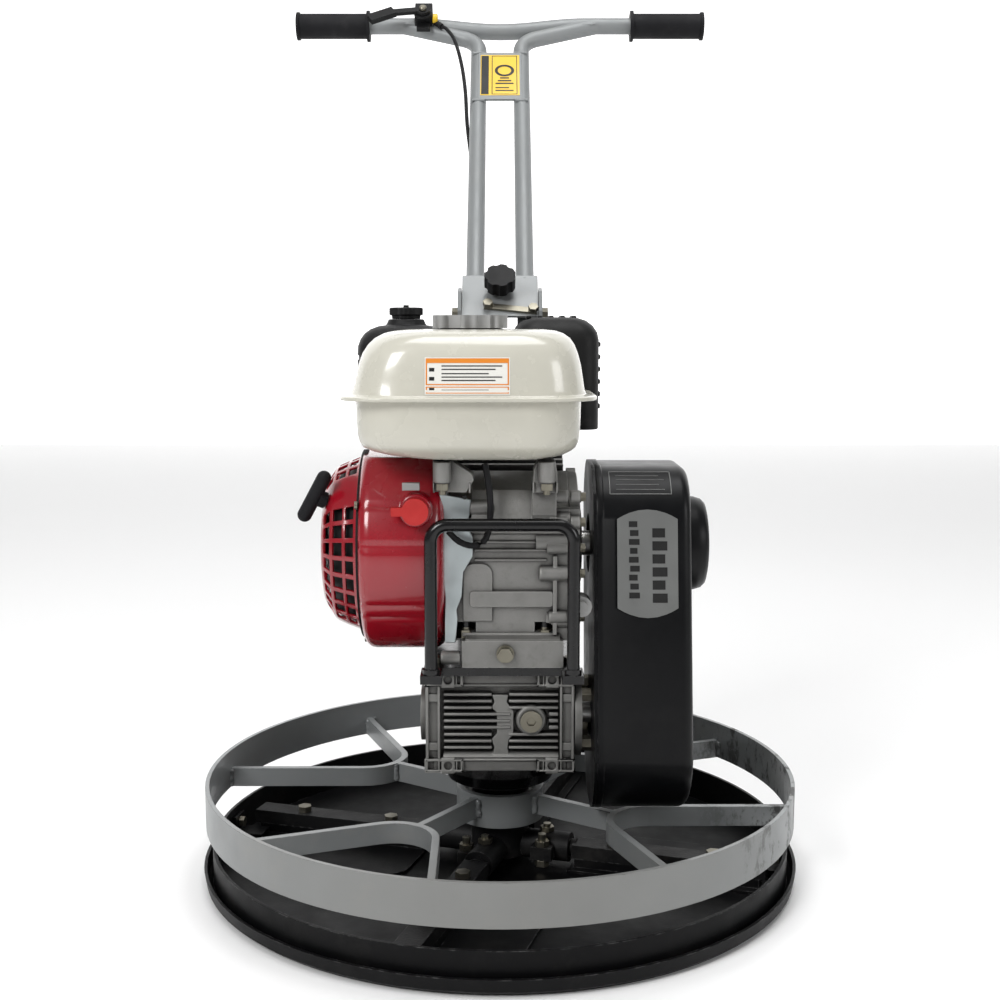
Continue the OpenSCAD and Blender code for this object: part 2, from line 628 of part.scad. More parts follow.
carb_x = [-100, -64];
module carburettor() color([0.55, 0.55, 0.56]) union() {
  rounded_box([carb_x[0], 66, 412], [carb_x[1], 112, 444], 8);
  translate([-82, 88, 401]) cylinder(h = 13, r = 15);
  translate([-82, 0, 430]) ycyl(62, 128, 13);
  // inlet pipe to the head
  translate([0, 77, 420]) xcyl(carb_x[1] - 2, -50.3, 11);
}
module choke_lever() color(black) difference() {
  union() {
    translate([0, 78, 428]) xcyl(-108, -103, 7);
    box([-107, 70, 399], [-104, 86, 428]);
  }
  translate([0, 78, 428]) xcyl(-110, -100, 3.1);
}
module fuel_valve_lever() color(black) difference() {
  union() {
    translate([0, 103, 420]) xcyl(-108, -103, 7);
    box([-107, 101, 417], [-104, 130, 423]);
  }
  translate([0, 103, 420]) xcyl(-110, -100, 3.1);
}

cleaner = [[-150, 48], [-52, 172]];      // corners of the air cleaner in plan
module air_cleaner_base() color(black) {
  air_filter();
  air_cleaner_tray();
}
module air_cleaner_tray() union() {
  rounded_box([cleaner[0][0] + 4, cleaner[0][1] + 4, 456], [cleaner[1][0] - 4, cleaner[1][1] - 4, 474],
      20);
  translate([-101, 110, 473]) cylinder(h = 104, r = 3);
  translate([-82, 88, 444.1]) cylinder(h = 14, r = 11);
}
module air_filter() difference() {
  translate([-101, 110, 474.2]) cylinder(h = 57, r = 40);
  translate([-101, 110, 473]) cylinder(h = 70, r = 26);
}
module air_cleaner_cover() color(black) difference() {
  union() {
    rounded_box([cleaner[0][0], cleaner[0][1], 474.1], [cleaner[1][0], cleaner[1][1], 534], 24);
    rounded_box([cleaner[0][0] + 5, cleaner[0][1] + 5, 533.9], [cleaner[1][0] - 5, cleaner[1][1] - 5,
        548], 20);
    rounded_box([cleaner[0][0] + 14, cleaner[0][1] + 14, 547.9], [cleaner[1][0] - 14,
        cleaner[1][1] - 14, 556], 14);
    translate([-101, 110, 555]) cylinder(h = 7, r = 17);
  }
  rounded_box([cleaner[0][0] + 3, cleaner[0][1] + 3, 470], [cleaner[1][0] - 3, cleaner[1][1] - 3, 532],
      21);
  translate([-101, 110, 470]) cylinder(h = 110, r = 3.3);
}
module air_cleaner_nut() color(black) translate([-101, 110, 562.1]) difference() {
  union() {
    cylinder(h = 8, r = 9);
    for (s = [0, 180]) rotate([0, 0, s + 20]) box([5, -3, 1], [17, 3, 13]);
  }
  translate([0, 0, -1]) cylinder(h = 20, r = 3.1);
}

// ---- fuel tank ----
tank_y = [-165, 15];
cap_x = -28;
cap_y = -78;
shoulder = 26;                           // radius of the tank's upper edge
tank_a = [tank_x0 + 21, tank_y[0] + 9];
tank_b = [tank_x1 - 14, tank_y[1] - 9];
// the tank's wall grown inwards by t: upper half with a shoulder, lower half with a slanted underside
function upper_wall(t) = concat([[t, tank_flange_z + (t ? 0 : 1)], [4 + t, tank_flange_z + 24]],
  [for (k = [0:6]) let (a = 15 * k) [7 + t + (shoulder - t) * (1 - cos(a)), tank_top_z - shoulder +
      (shoulder - t) * sin(a)]]);
function lower_wall(t) = [[24 + t, 433 + t], [12 + t, 436 + t], [4 + t, 446 + t], [t, tank_flange_z +
    (t ? 0.5 : -1)]];
module fuel_tank() color([0.86, 0.84, 0.78]) difference() {
  union() {
    pressed(tank_a, tank_b, 46, upper_wall(0));
    pressed(tank_a, tank_b, 46, lower_wall(0));
    rounded_box([tank_x0, tank_y[0], tank_flange_z - 2], [tank_x1, tank_y[1], tank_flange_z + 2], 46);
    translate([cap_x, cap_y, tank_top_z - 6]) cylinder(h = 7, r = 28);
  }
  pressed(tank_a, tank_b, 46, upper_wall(2.5));
  pressed(tank_a, tank_b, 46, lower_wall(2.5));
  translate([cap_x, cap_y, tank_top_z - 21]) cylinder(h = 40, r = 23);
}
module fuel_cap() color([0.72, 0.72, 0.70]) translate([cap_x, cap_y, tank_top_z + 1.1]) union() {
  difference() {
    cylinder(h = 12, r = 36);
    for (k = [0:7]) rotate([0, 0, 45 * k]) translate([44, 0, -1]) cylinder(h = 14, r = 12);
  }
  translate([0, 0, -10]) cylinder(h = 11, r = 22);
}
module tank_mounts() color(casting) {
  // two collars and brackets under the front of the tank, with their bolts
  for (x = [-44, 50]) {
    translate([x, -128, 412]) cylinder(h = 20.9, r = 10);
    translate([x, -128, 396]) hex_z(5, 15.9, 12);
  }
  difference() {
    union() {
      box([-52, -134, 384], [-20, -100, 411.9]);
      box([36, -134, 384], [62, -100, 411.9]);
    }
    box([-60, -140, 380], [70, -112, 406]);
  }
}

// ---- cooling fan and recoil starter ----
fan_x0 = -133;
fan_r = 104;
fan_top = 91;                            // the scroll is flat under the tank, this far above the crankshaft
// the fan's scroll and the duct towards the cylinder, about the crankshaft, grown by g
module fan_scroll(x0, x1, g) intersection() {
  union() {
    xcyl(x0, x1, fan_r + g);
    box([x0 + (g ? 26.5 : 24), 0, -20 - g], [x1, 85 + g, fan_r - 6 + g]);
  }
  box([x0, -fan_r, -fan_r], [x1, fan_r, fan_top + g]);
}
module fan_housing() color(red) difference() {
  union() {
    on_crank() fan_scroll(fan_x0, case_x0 - 2, 0);
    // flat boss that carries the switch
    translate([-78, 0, crank_z + 46]) ycyl(crank_y - 104, crank_y - 80, 17);
  }
  on_crank() {
    fan_scroll(fan_x0 + 2.5, case_x0, -2.5);
    xcyl(fan_x0 - 1, fan_x0 + 5, 82);
  }
  translate([-78, 0, crank_z + 46]) ycyl(crank_y - 110, crank_y - 70, 5.2);
}
recoil_x0 = -172;
module recoil_cover() color(red) on_crank() difference() {
  turned_x([[0, recoil_x0], [62, recoil_x0], [76, recoil_x0 + 9], [86, recoil_x0 + 35], [92,
      recoil_x0 + 38.9], [0, recoil_x0 + 38.9]]);
  turned_x([[8, recoil_x0 + 3], [61, recoil_x0 + 3], [73, recoil_x0 + 11], [83, recoil_x0 + 36], [83,
      recoil_x0 + 45], [8, recoil_x0 + 45]]);
  // air slots round the rim and in the face
  for (k = [0:23]) if (k % 6 != 2) rotate([15 * k, 0, 0]) {
    box([recoil_x0 + 12, 66, -8], [recoil_x0 + 17, 100, 8]);
    box([recoil_x0 + 23, 66, -8], [recoil_x0 + 28, 100, 8]);
  }
  for (k = [0:11]) rotate([30 * k + 15, 0, 0]) box([recoil_x0 - 1, 30, -3], [recoil_x0 + 5, 54, 3]);
  // eye of the starting rope
  at_rope_eye() ycyl(-12, 6, 6);
  xcyl(recoil_x0 + 31, recoil_x0 + 50, 9);
}
// the eye of the starting rope sits on the chamfer of the cover, towards the front and up; local +Y is the pull
module at_rope_eye() rotate([135, 0, 0]) translate([recoil_x0 + 4.5, 69, 0]) rotate([0, 0, 57])
    children();
module recoil_reel() color([0.15, 0.15, 0.15]) on_crank() difference() {
  turned_x([
    [8.2, recoil_x0 + 8], [60, recoil_x0 + 14], [60, recoil_x0 + 17], [50, recoil_x0 + 17],
    [50, recoil_x0 + 26], [60, recoil_x0 + 26], [60, recoil_x0 + 29], [8.2, recoil_x0 + 29]
  ]);
  xcyl(recoil_x0, recoil_x0 + 40, 8.2);
  for (k = [0:2]) rotate([120 * k, 0, 0]) translate([0, 30, 0]) xcyl(recoil_x0, recoil_x0 + 40, 8);
}
// the pull grip, out along the rope's direction
module starter_grip() color(black) on_crank() at_rope_eye() union() {
  ycyl(0.5, 8, 8);
  translate([0, 12, 0]) rotate([0, 29, 0]) {
    xcyl(-21, 21, 7);
    for (x = [-21, 21]) translate([x, 0, 0]) sphere(r = 7);
  }
}

module engine_switch() color([0.75, 0.08, 0.08]) translate([-78, crank_y - 104.1, crank_z + 46]) union() {
  rotate([90, 0, 0]) cylinder(h = 8, r = 12.5);
  box([-22, -8, -4], [0, 0, 4]);
  ycyl(-1, 18, 5);
}

module oil_filler_cap() color([0.60, 0.61, 0.60]) on_crank() translate([oil_x, 0, oil_z]) {
  translate([0, -86.1, 0]) rotate([90, 0, 0]) cylinder(h = 7, r = 10, $fn = 12);
  ycyl(-99, -93, 6);
}

// ---- leads ----
function swept_ring(p, d, r, n) = let (
  t = d / norm(d),
  u = cross(abs(t[0]) < 0.8 ? [1, 0, 0] : [0, 0, 1], t) / norm(cross(abs(t[0]) < 0.8 ? [1, 0, 0] : [0,
      0, 1], t)),
  v = cross(t, u)) [for (i = [0:n - 1]) p + r * (cos(360 * i / n) * u + sin(360 * i / n) * v)];
function heading(path, i) = path[min(i + 1, len(path) - 1)] - path[max(i - 1, 0)];
// a tube that follows the points of a path
module tube_along(path, d, n = 8) {
  rings = [for (i = [0:len(path) - 1]) each swept_ring(path[i], heading(path, i), d / 2, n)];
  last = (len(path) - 1) * n;
  polyhedron(rings, concat(
    [[for (j = [0:n - 1]) j]],
    [for (i = [0:len(path) - 2], j = [0:n - 1]) each [
      [i * n + j, (i + 1) * n + j, (i + 1) * n + (j + 1) % n],
      [i * n + j, (i + 1) * n + (j + 1) % n, i * n + (j + 1) % n]]],
    [[for (j = [n - 1:-1:0]) last + j]]));
}
// Catmull-Rom curve through hand-placed points, s steps a span
function spline_point(a, b, c, d, t) =
  0.5 * ((2 * b) + (c - a) * t + (2 * a - 5 * b + 4 * c - d) * t * t + (3 * b - a - 3 * c + d)
      * t * t * t);
function spline(p, s) = concat(
  [for (i = [0:len(p) - 2], k = [0:s - 1]) spline_point(p[max(i - 1, 0)], p[i], p[i + 1], p[min(i + 2,
      len(p) - 1)], k / s)],
  [p[len(p) - 1]]);

switch_lead = [[-14, -118, 429], [-10, -118, 406], [-9, -118, 380], [-13, -118, 359], [-24, -118, 352],
               [-38, -119, 356], [-48, -121, 366]];
module engine_leads() color(black)
  tube_along(spline(switch_lead, 3), 6);

// ---- crank train ----
// the piston part of the way down its bore, with its pin
module piston() color(steel) on_cylinder() difference() {
  union() {
    translate([cyl_x, 0, 0]) ycyl(62, 98, 33.8);
    translate([0, 76, 0]) xcyl(cyl_x - 30, cyl_x + 30, 8);
  }
  translate([cyl_x, 0, 0]) ycyl(60, 66, 29);
  for (y = [84, 89, 94]) translate([cyl_x, 0, 0]) difference() {
    ycyl(y, y + 2, 35);
    ycyl(y - 1, y + 3, 32);
  }
}
module crankshaft() color(steel) on_crank() union() {
  xcyl(-140, -8, 12.5);
  xcyl(24, 165, 12.5);
  for (x = [-14, 18]) intersection() {
    xcyl(x, x + 12, 46);
    box([x - 1, -60, -26], [x + 13, 60, 26]);
  }
  translate([0, 22.5, 0]) xcyl(-4, 20, 15);
}
module flywheel() color([0.45, 0.46, 0.47]) on_crank() difference() {
  union() {
    turned_x([[0, -100], [70, -100], [70, -76], [88, -74], [88, -60], [20, -60], [0, -58]]);
    xcyl(-128, -99, 42);
    for (k = [0:11]) rotate([30 * k, 0, 0]) box([-126, 56, -2], [-99, 80, 2]);
  }
  xcyl(-130, -104, 39);
  xcyl(-110, -50, 12.6);
}
module clutch_drum() color([0.30, 0.30, 0.31]) on_crank() difference() {
  turned_x([
    [0, belt_x - 12], [drive_r + 6, belt_x - 12], [drive_r + 6, belt_x - 7.5], [drive_r - 7,
        belt_x - 5.2],
    [drive_r - 7, belt_x + 5.2], [drive_r + 6, belt_x + 7.5], [drive_r + 6, belt_x + 12],
    [52, belt_x + 12], [52, belt_x + 44], [0, belt_x + 44]
  ]);
  xcyl(80, 200, 12.6);
  difference() {
    xcyl(belt_x + 16, belt_x + 50, 48);
    xcyl(belt_x + 10, belt_x + 60, 22);
  }
}

// ---- handle ----
module on_handle() translate(pivot) rotate([handle_lean, 0, 0]) children();
// along the handle: local +Y runs up the tubes, local +Z faces the front and up
reach = 572;                             // from the pivot to the handlebar
bow = 14;                                // sag of the handlebar's middle
bend = 32;                               // radius of the bend at the top of a long tube
flare = 70;                              // angle of that bend
bend_y = 511;                            // where it starts
join_x = 136;                            // where the flared tube meets the handlebar
bar_line = [for (x = [-bar_half, each [-120:15:120], bar_half])
  [x, reach - (abs(x) < 120 ? bow * (1 + cos(180 * x / 120)) / 2 : 0), 0]];
flare_top = bend_y + bend * sin(flare);
flare_out = tube_half + bend * (1 - cos(flare));
side_line = concat([[tube_half, 6, 0]],
  [for (a = [0:10:flare]) [tube_half + bend * (1 - cos(a)), bend_y + bend * sin(a), 0]],
  [[join_x, flare_top + (join_x - flare_out) / tan(flare), 0]]);
module handle_tubes() color(ring_grey) on_handle() for (s = [-1, 1])
  tube_along([for (p = side_line) [s * p[0], p[1], 0]], tube_d - 0.6, 16);
// the handlebar, and the plate across the tubes that carries the label
module handlebar() color(ring_grey) on_handle() {
  tube_along(bar_line, tube_d, 16);
  translate([-tube_half, 403, 8.5]) cube([2 * tube_half, 103, 3]);
}
// base plate between the bracket's side plates, with the two eyes of the pivot
module handle_base() color(ring_grey) on_handle() difference() {
  union() {
    box([-43.7, -14, 11], [43.7, 52, 14]);
    for (s = [-1, 1]) {
      box([s * 41.9 - 1.8, -14, -12], [s * 41.9 + 1.8, 46, 11.5]);
      box([s * 31 - 11, -4, -11], [s * 31 + 11, 5.9, 11.2]);
    }
  }
  xcyl(-60, 60, 5.05);
}
grip_l = 98;
module handle_grips() color(black) on_handle() for (s = [-1, 1]) translate([0, reach, 0]) difference() {
  translate([s < 0 ? -bar_half - 4 : bar_half - grip_l, 0, 0]) {
    xcyl(0, grip_l + 4, 17);
    xcyl(s < 0 ? grip_l : 0, (s < 0 ? grip_l : 0) + 4, 21);
    xcyl(s < 0 ? 0 : grip_l, (s < 0 ? 0 : grip_l) + 4, 19);
  }
  xcyl(-bar_half - 0.5, bar_half + 0.5, tube_d / 2 + 0.1);
}
module handle_fasteners() color([0.72, 0.72, 0.70]) {
  // pivot bolts through the bracket's side plates
  for (s = [-1, 1]) translate(pivot) {
    hex_x(s * 51.6 - 3.3, s * 51.6 + 3.3, 16);
    xcyl(s > 0 ? 35 : -49, s > 0 ? 49 : -35, 5);
  }
}
module handle_strap() color([0.72, 0.72, 0.70]) on_handle() translate([12, -4, 14.1]) rotate([0, 0, -8]) {
  box([-30, -4, 0], [30, 4, 3]);
  for (x = [-26, 26]) translate([x, 0, 0]) hex_z(3.05, 9, 10);
}
clamp_x = -106;                          // the throttle's clamp on the handlebar
module throttle_clamp() color(black) on_handle() translate([clamp_x, reach, 0]) difference() {
  union() {
    xcyl(-11, 11, 17);
    box([-12, -16, -4], [12, 16, 26]);
    translate([0, -10, 26]) cylinder(h = 3, r = 13);
    box([-9, -30, 11.3], [9, -14, 17]);
    translate([10, -6, 15.5]) rotate([0, 0, -50]) xcyl(0, 24, 4);
  }
  xcyl(-30, 30, tube_d / 2 + 0.7);
  // clear of the flared tube below the handlebar
  box([-30, -40, -30], [30, 2, 11.2]);
}
lever_at = [clamp_x, reach - 10, 29.2];
module throttle_lever() color(black) on_handle() translate(lever_at) difference() {
  union() {
    cylinder(h = 5, r = 10);
    rotate([0, 0, 8]) box([-44, -5, 0], [0, 5, 5]);
    rotate([0, 0, 8]) translate([-42, 0, 0]) rotate([0, 0, 22]) box([-36, -8, 0], [2, 8, 7]);
  }
  translate([0, 0, -1]) cylinder(h = 10, r = 3.1);
}
// the cable's route: down the handle in its own directions, from the clamp, then down to the engine
cable_top = [[-79.8, 546.5, 15.5], [-74, 539, 18], [-62, 512, 18], [-52, 462, 16], [-46, 412, 8], [-43,
    360, -7],
             [-37, 300, -16], [-33, 230, -17], [-32, 150, -17], [-31, 70, -17], [-31, 24, -17.5], [-31,
                 2, -18]];
cable_low = [[-31, 214, 536], [-33, 200, 508], [-38, 184, 482], [-45, 166, 460], [-54, 146, 442],
    [-60.5, 127, 433]];
function from_handle(p) = pivot + [p[0], p[1] * cos(handle_lean) - p[2] * sin(handle_lean),
                                   p[1] * sin(handle_lean) + p[2] * cos(handle_lean)];
module throttle_cable() color(black)
  tube_along(spline(concat([for (p = cable_top) from_handle(p)], cable_low), 4), 5);

module star_knob() color(black) on_handle() translate([0, 26, 14.2]) union() {
  cylinder(h = 10, r = 8);
  translate([0, 0, 9]) difference() {
    cylinder(h = 16, r = 18);
    for (k = [0:6]) rotate([0, 0, 360 / 7 * k]) translate([22, 0, -1]) cylinder(h = 18, r = 6);
  }
}

float_pan();
blades();
trowel_arms();
spider();
pan_clips();
rotor_fasteners();
output_shaft();
worm_wheel();
worm_shaft();
driven_pulley();
guard_ring();
guard_spokes();
guard_hub_bearing();
gearbox_housing();
worm_bearing_caps();
union() { output_flange(); ring_spigot(); }
shaft_bearings();
base_plate();
front_guard();
handle_bracket();
belt_guard_cover();
belt_guard_back();
machine_screws();
drive_belt();
piston();
crankcase();
crankcase_cover();
cylinder_head();
rocker_cover();
spark_plug();
muffler();
muffler_shield();
carburettor();
air_cleaner_base();
air_cleaner_cover();
air_cleaner_nut();
fuel_tank();
fuel_cap();
tank_mounts();
fan_housing();
recoil_cover();
recoil_reel();
starter_grip();
engine_switch();
oil_filler_cap();
engine_leads();
choke_lever();
fuel_valve_lever();
crankshaft();
flywheel();
clutch_drum();
handlebar();
handle_tubes();
handle_base();
handle_grips();
union() { handle_fasteners(); handle_strap(); }
throttle_clamp();
throttle_lever();
throttle_cable();
star_knob();
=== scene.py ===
"""A walk-behind power trowel: its finishes, detailed shells, labels, welds, floor, light and camera."""
import json
import math
import random

import bmesh
import bpy
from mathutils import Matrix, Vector

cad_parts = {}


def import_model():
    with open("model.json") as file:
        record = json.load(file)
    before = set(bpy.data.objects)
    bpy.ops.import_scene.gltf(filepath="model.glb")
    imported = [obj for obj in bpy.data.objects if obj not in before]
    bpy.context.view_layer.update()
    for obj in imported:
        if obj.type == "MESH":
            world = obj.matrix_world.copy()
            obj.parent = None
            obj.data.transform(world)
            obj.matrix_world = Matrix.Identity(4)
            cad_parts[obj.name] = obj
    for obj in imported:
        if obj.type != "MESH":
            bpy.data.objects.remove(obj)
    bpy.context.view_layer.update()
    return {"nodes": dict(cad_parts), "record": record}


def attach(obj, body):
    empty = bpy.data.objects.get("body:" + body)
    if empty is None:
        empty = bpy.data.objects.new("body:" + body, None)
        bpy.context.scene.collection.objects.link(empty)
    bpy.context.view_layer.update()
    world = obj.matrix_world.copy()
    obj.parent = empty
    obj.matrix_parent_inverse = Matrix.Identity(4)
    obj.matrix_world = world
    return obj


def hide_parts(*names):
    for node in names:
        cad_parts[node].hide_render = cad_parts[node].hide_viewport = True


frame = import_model()
NODES = frame["nodes"]
MM = 0.001
SHADER_SAMPLES = 4
DUST = (0.34, 0.32, 0.29)


# ---- materials ----
class Maker:
    """Builds one node material around a Principled shader."""

    def __init__(self, name, color, rough, metal=0.0, coat=0.0, sheen=0.5):
        self.mat = bpy.data.materials.new(name)
        self.mat.use_nodes = True
        self.tree = self.mat.node_tree
        self.shader = self.tree.nodes["Principled BSDF"]
        self.color = color
        self.shader.inputs["Base Color"].default_value = (*color, 1)
        self.shader.inputs["Roughness"].default_value = rough
        self.shader.inputs["Metallic"].default_value = metal
        self.shader.inputs["Coat Weight"].default_value = coat
        self.shader.inputs["Specular IOR Level"].default_value = sheen
        self.shader.inputs["Coat Roughness"].default_value = 0.08
        self.place = self.tree.nodes.new("ShaderNodeTexCoord").outputs["Object"]
        self.tint = None
        self.gloss = None
        self.height = None
        self.base_rough = rough

    def node(self, kind, **inputs):
        made = self.tree.nodes.new(kind)
        for name, value in inputs.items():
            self.put(made.inputs[name.replace("_", " ")], value)
        return made

    def put(self, socket, value):
        if isinstance(value, bpy.types.NodeSocket):
            self.tree.links.new(value, socket)
        else:
            socket.default_value = value

    def math(self, operation, a, b=0.0, clamp=False):
        made = self.tree.nodes.new("ShaderNodeMath")
        made.operation = operation
        made.use_clamp = clamp
        self.put(made.inputs[0], a)
        self.put(made.inputs[1], b)
        return made.outputs[0]

    def noise(self, scale, detail=4.0, rough=0.55, stretch=(1, 1, 1)):
        place = self.place
        if stretch != (1, 1, 1):
            mapping = self.node("ShaderNodeMapping", Vector=place)
            mapping.inputs["Scale"].default_value = stretch
            place = mapping.outputs[0]
        made = self.node("ShaderNodeTexNoise", Vector=place, Scale=scale, Detail=detail, Roughness=rough)
        return made.outputs[0]

    def cells(self, scale):
        return self.node("ShaderNodeTexVoronoi", Vector=self.place, Scale=scale).outputs["Distance"]

    def ramp(self, value, low, high):
        """0 below low, 1 above high, straight between."""
        made = self.node("ShaderNodeMapRange", Value=value)
        made.inputs["From Min"].default_value = low
        made.inputs["From Max"].default_value = high
        return made.outputs[0]

    def edges(self, radius=0.0015, low=0.02, high=0.25):
        """1 near a sharp edge, 0 on flat faces."""
        bevel = self.node("ShaderNodeBevel", Radius=radius)
        bevel.samples = SHADER_SAMPLES
        flat = self.tree.nodes.new("ShaderNodeNewGeometry").outputs["Normal"]
        dot = self.tree.nodes.new("ShaderNodeVectorMath")
        dot.operation = "DOT_PRODUCT"
        self.put(dot.inputs[0], bevel.outputs[0])
        self.put(dot.inputs[1], flat)
        return self.ramp(self.math("SUBTRACT", 1.0, dot.outputs["Value"]), low * 0.2, high * 0.5)

    def corners(self, reach):
        """1 in tight corners, 0 on open faces, from ambient occlusion; it masks painted shade."""
        shade = self.tree.nodes.new("ShaderNodeAmbientOcclusion")
        shade.samples = SHADER_SAMPLES
        shade.inputs["Distance"].default_value = reach
        return self.ramp(shade.outputs["AO"], 0.85, 0.25)

    def blend(self, mask, color, strength=1.0):
        """Lays color over what is there, where mask is 1."""
        mix = self.tree.nodes.new("ShaderNodeMix")
        mix.data_type = "RGBA"
        under = self.tint if self.tint is not None else (*self.color, 1)
        self.put(mix.inputs[0], self.math("MULTIPLY", mask, strength))
        self.put(mix.inputs[6], under)
        self.put(mix.inputs[7], (*color, 1))
        self.tint = mix.outputs[2]

    def rougher(self, mask, amount):
        under = self.gloss if self.gloss is not None else self.base_rough
        self.gloss = self.math("ADD", under, self.math("MULTIPLY", mask, amount), clamp=True)

    def raise_by(self, mask, amount):
        step = self.math("MULTIPLY", mask, amount)
        self.height = step if self.height is None else self.math("ADD", self.height, step)

    def done(self, round_edges=0.0):
        if self.tint is not None:
            self.put(self.shader.inputs["Base Color"], self.tint)
        if self.gloss is not None:
            self.put(self.shader.inputs["Roughness"], self.gloss)
        normal = None
        if round_edges:
            bevel = self.node("ShaderNodeBevel", Radius=round_edges)
            bevel.samples = SHADER_SAMPLES
            normal = bevel.outputs[0]
        if self.height is not None:
            bump = self.node("ShaderNodeBump", Height=self.height)
            bump.inputs["Distance"].default_value = 1.0
            if normal is not None:
                self.put(bump.inputs["Normal"], normal)
            normal = bump.outputs[0]
        if normal is not None:
            self.put(self.shader.inputs["Normal"], normal)
        return self.mat


def paint(name, color, rough=0.35, metal=0.0, coat=0.0, wear=0.5, dust=0.2, peel=0.00006,
          bare=(0.33, 0.33, 0.33), sheen=0.5, scuffs=False):
    """Sprayed paint: orange peel, uneven gloss, worn edges, scratches and dust.

    scuffs adds rubbed patches on the +X side and makes the front darker.
    """
    m = Maker(name, color, rough, metal, coat, sheen)
    cloud = m.noise(9, 5)
    m.blend(m.ramp(cloud, 0.35, 0.75), tuple(c * 0.82 for c in color), 0.6)
    m.rougher(m.ramp(m.noise(30, 6), 0.3, 0.8), 0.16)
    m.raise_by(m.noise(420, 2), peel)
    if dust:
        m.blend(m.ramp(m.noise(16, 8, 0.7), 0.52, 0.78), DUST, dust)
        m.rougher(m.ramp(m.noise(16, 8, 0.7), 0.52, 0.78), 0.2 * dust)
    if wear:
        chips = m.math("MULTIPLY", m.edges(), m.ramp(m.noise(70, 8, 0.75), 0.5, 0.62))
        m.blend(chips, bare, wear)
        scratch = m.ramp(m.noise(26, 10, 0.85, (1, 1, 7)), 0.66, 0.70)
        m.blend(scratch, tuple(c * 0.6 for c in bare), 0.35 * wear)
        m.raise_by(scratch, -0.00008)
    if scuffs:
        spread = m.node("ShaderNodeSeparateXYZ", Vector=m.place)
        side = m.ramp(spread.outputs[0], 0.19, 0.27)
        rubbed = m.math("MULTIPLY", side, m.ramp(m.noise(24, 10, 0.8, (1, 1, 0.5)), 0.52, 0.58))
        m.blend(rubbed, bare, 0.85)
        m.rougher(rubbed, 0.3)
        # darker towards the front (-Y), by position alone
        m.blend(m.ramp(spread.outputs[1], -0.12, -0.3), (0.20, 0.195, 0.18), 0.55)
    return m.done(0.0008)


def cast(name, color, rough=0.42, grain=0.00022, dirt=0.5):
    """Sand-cast metal: fine grain, dirt patches, a painted highlight on sharp edges and painted shade in the
    corners.
    """
    m = Maker(name, color, rough, 0.7)
    m.blend(m.ramp(m.noise(14, 6), 0.35, 0.7), tuple(c * 0.72 for c in color), 0.7)
    m.blend(m.ramp(m.noise(90, 6, 0.7), 0.55, 0.72), (0.12, 0.115, 0.10), dirt * 0.5)
    # painted highlight: sharp edges are lightened, standing in for light catching the casting's edges
    m.blend(m.edges(0.0022), tuple(min(1, c * 1.5) for c in color), 0.7)
    # painted shade: tight corners are darkened almost to black, standing in for shadow in the casting's
    # recesses
    m.blend(m.corners(0.016), (0.018, 0.017, 0.016), 0.95)
    m.rougher(m.ramp(m.noise(60, 5), 0.3, 0.7), 0.22)
    m.raise_by(m.noise(900, 3, 0.7), grain)
    m.raise_by(m.noise(160, 4), grain * 1.2)
    return m.done(0.0011)


def machined(name, color, rough=0.24, stain=0.25):
    """Bare or plated metal with brown stains and uneven gloss."""
    m = Maker(name, color, rough, 1.0)
    m.blend(m.ramp(m.noise(80, 6, 0.7), 0.5, 0.75), (0.14, 0.12, 0.09), stain)
    m.rougher(m.ramp(m.noise(50, 6), 0.3, 0.7), 0.2)
    m.raise_by(m.noise(1500, 2), 0.00003)
    return m.done(0.0004)


def moulded(name, color, rough=0.5, grain=0.00010, dust=0.12, sheen=0.5):
    """Moulded plastic or rubber: fine cells, paler patches and a little dust."""
    m = Maker(name, color, rough, sheen=sheen)
    m.blend(m.ramp(m.noise(20, 6), 0.4, 0.75), tuple(min(1, c * 1.7 + 0.01) for c in color), 0.4)
    m.blend(m.ramp(m.noise(40, 8, 0.75), 0.55, 0.8), (0.3, 0.29, 0.27), dust)
    m.rougher(m.ramp(m.noise(35, 5), 0.3, 0.75), 0.2)
    m.raise_by(m.cells(900), grain)
    return m.done(0.0008)


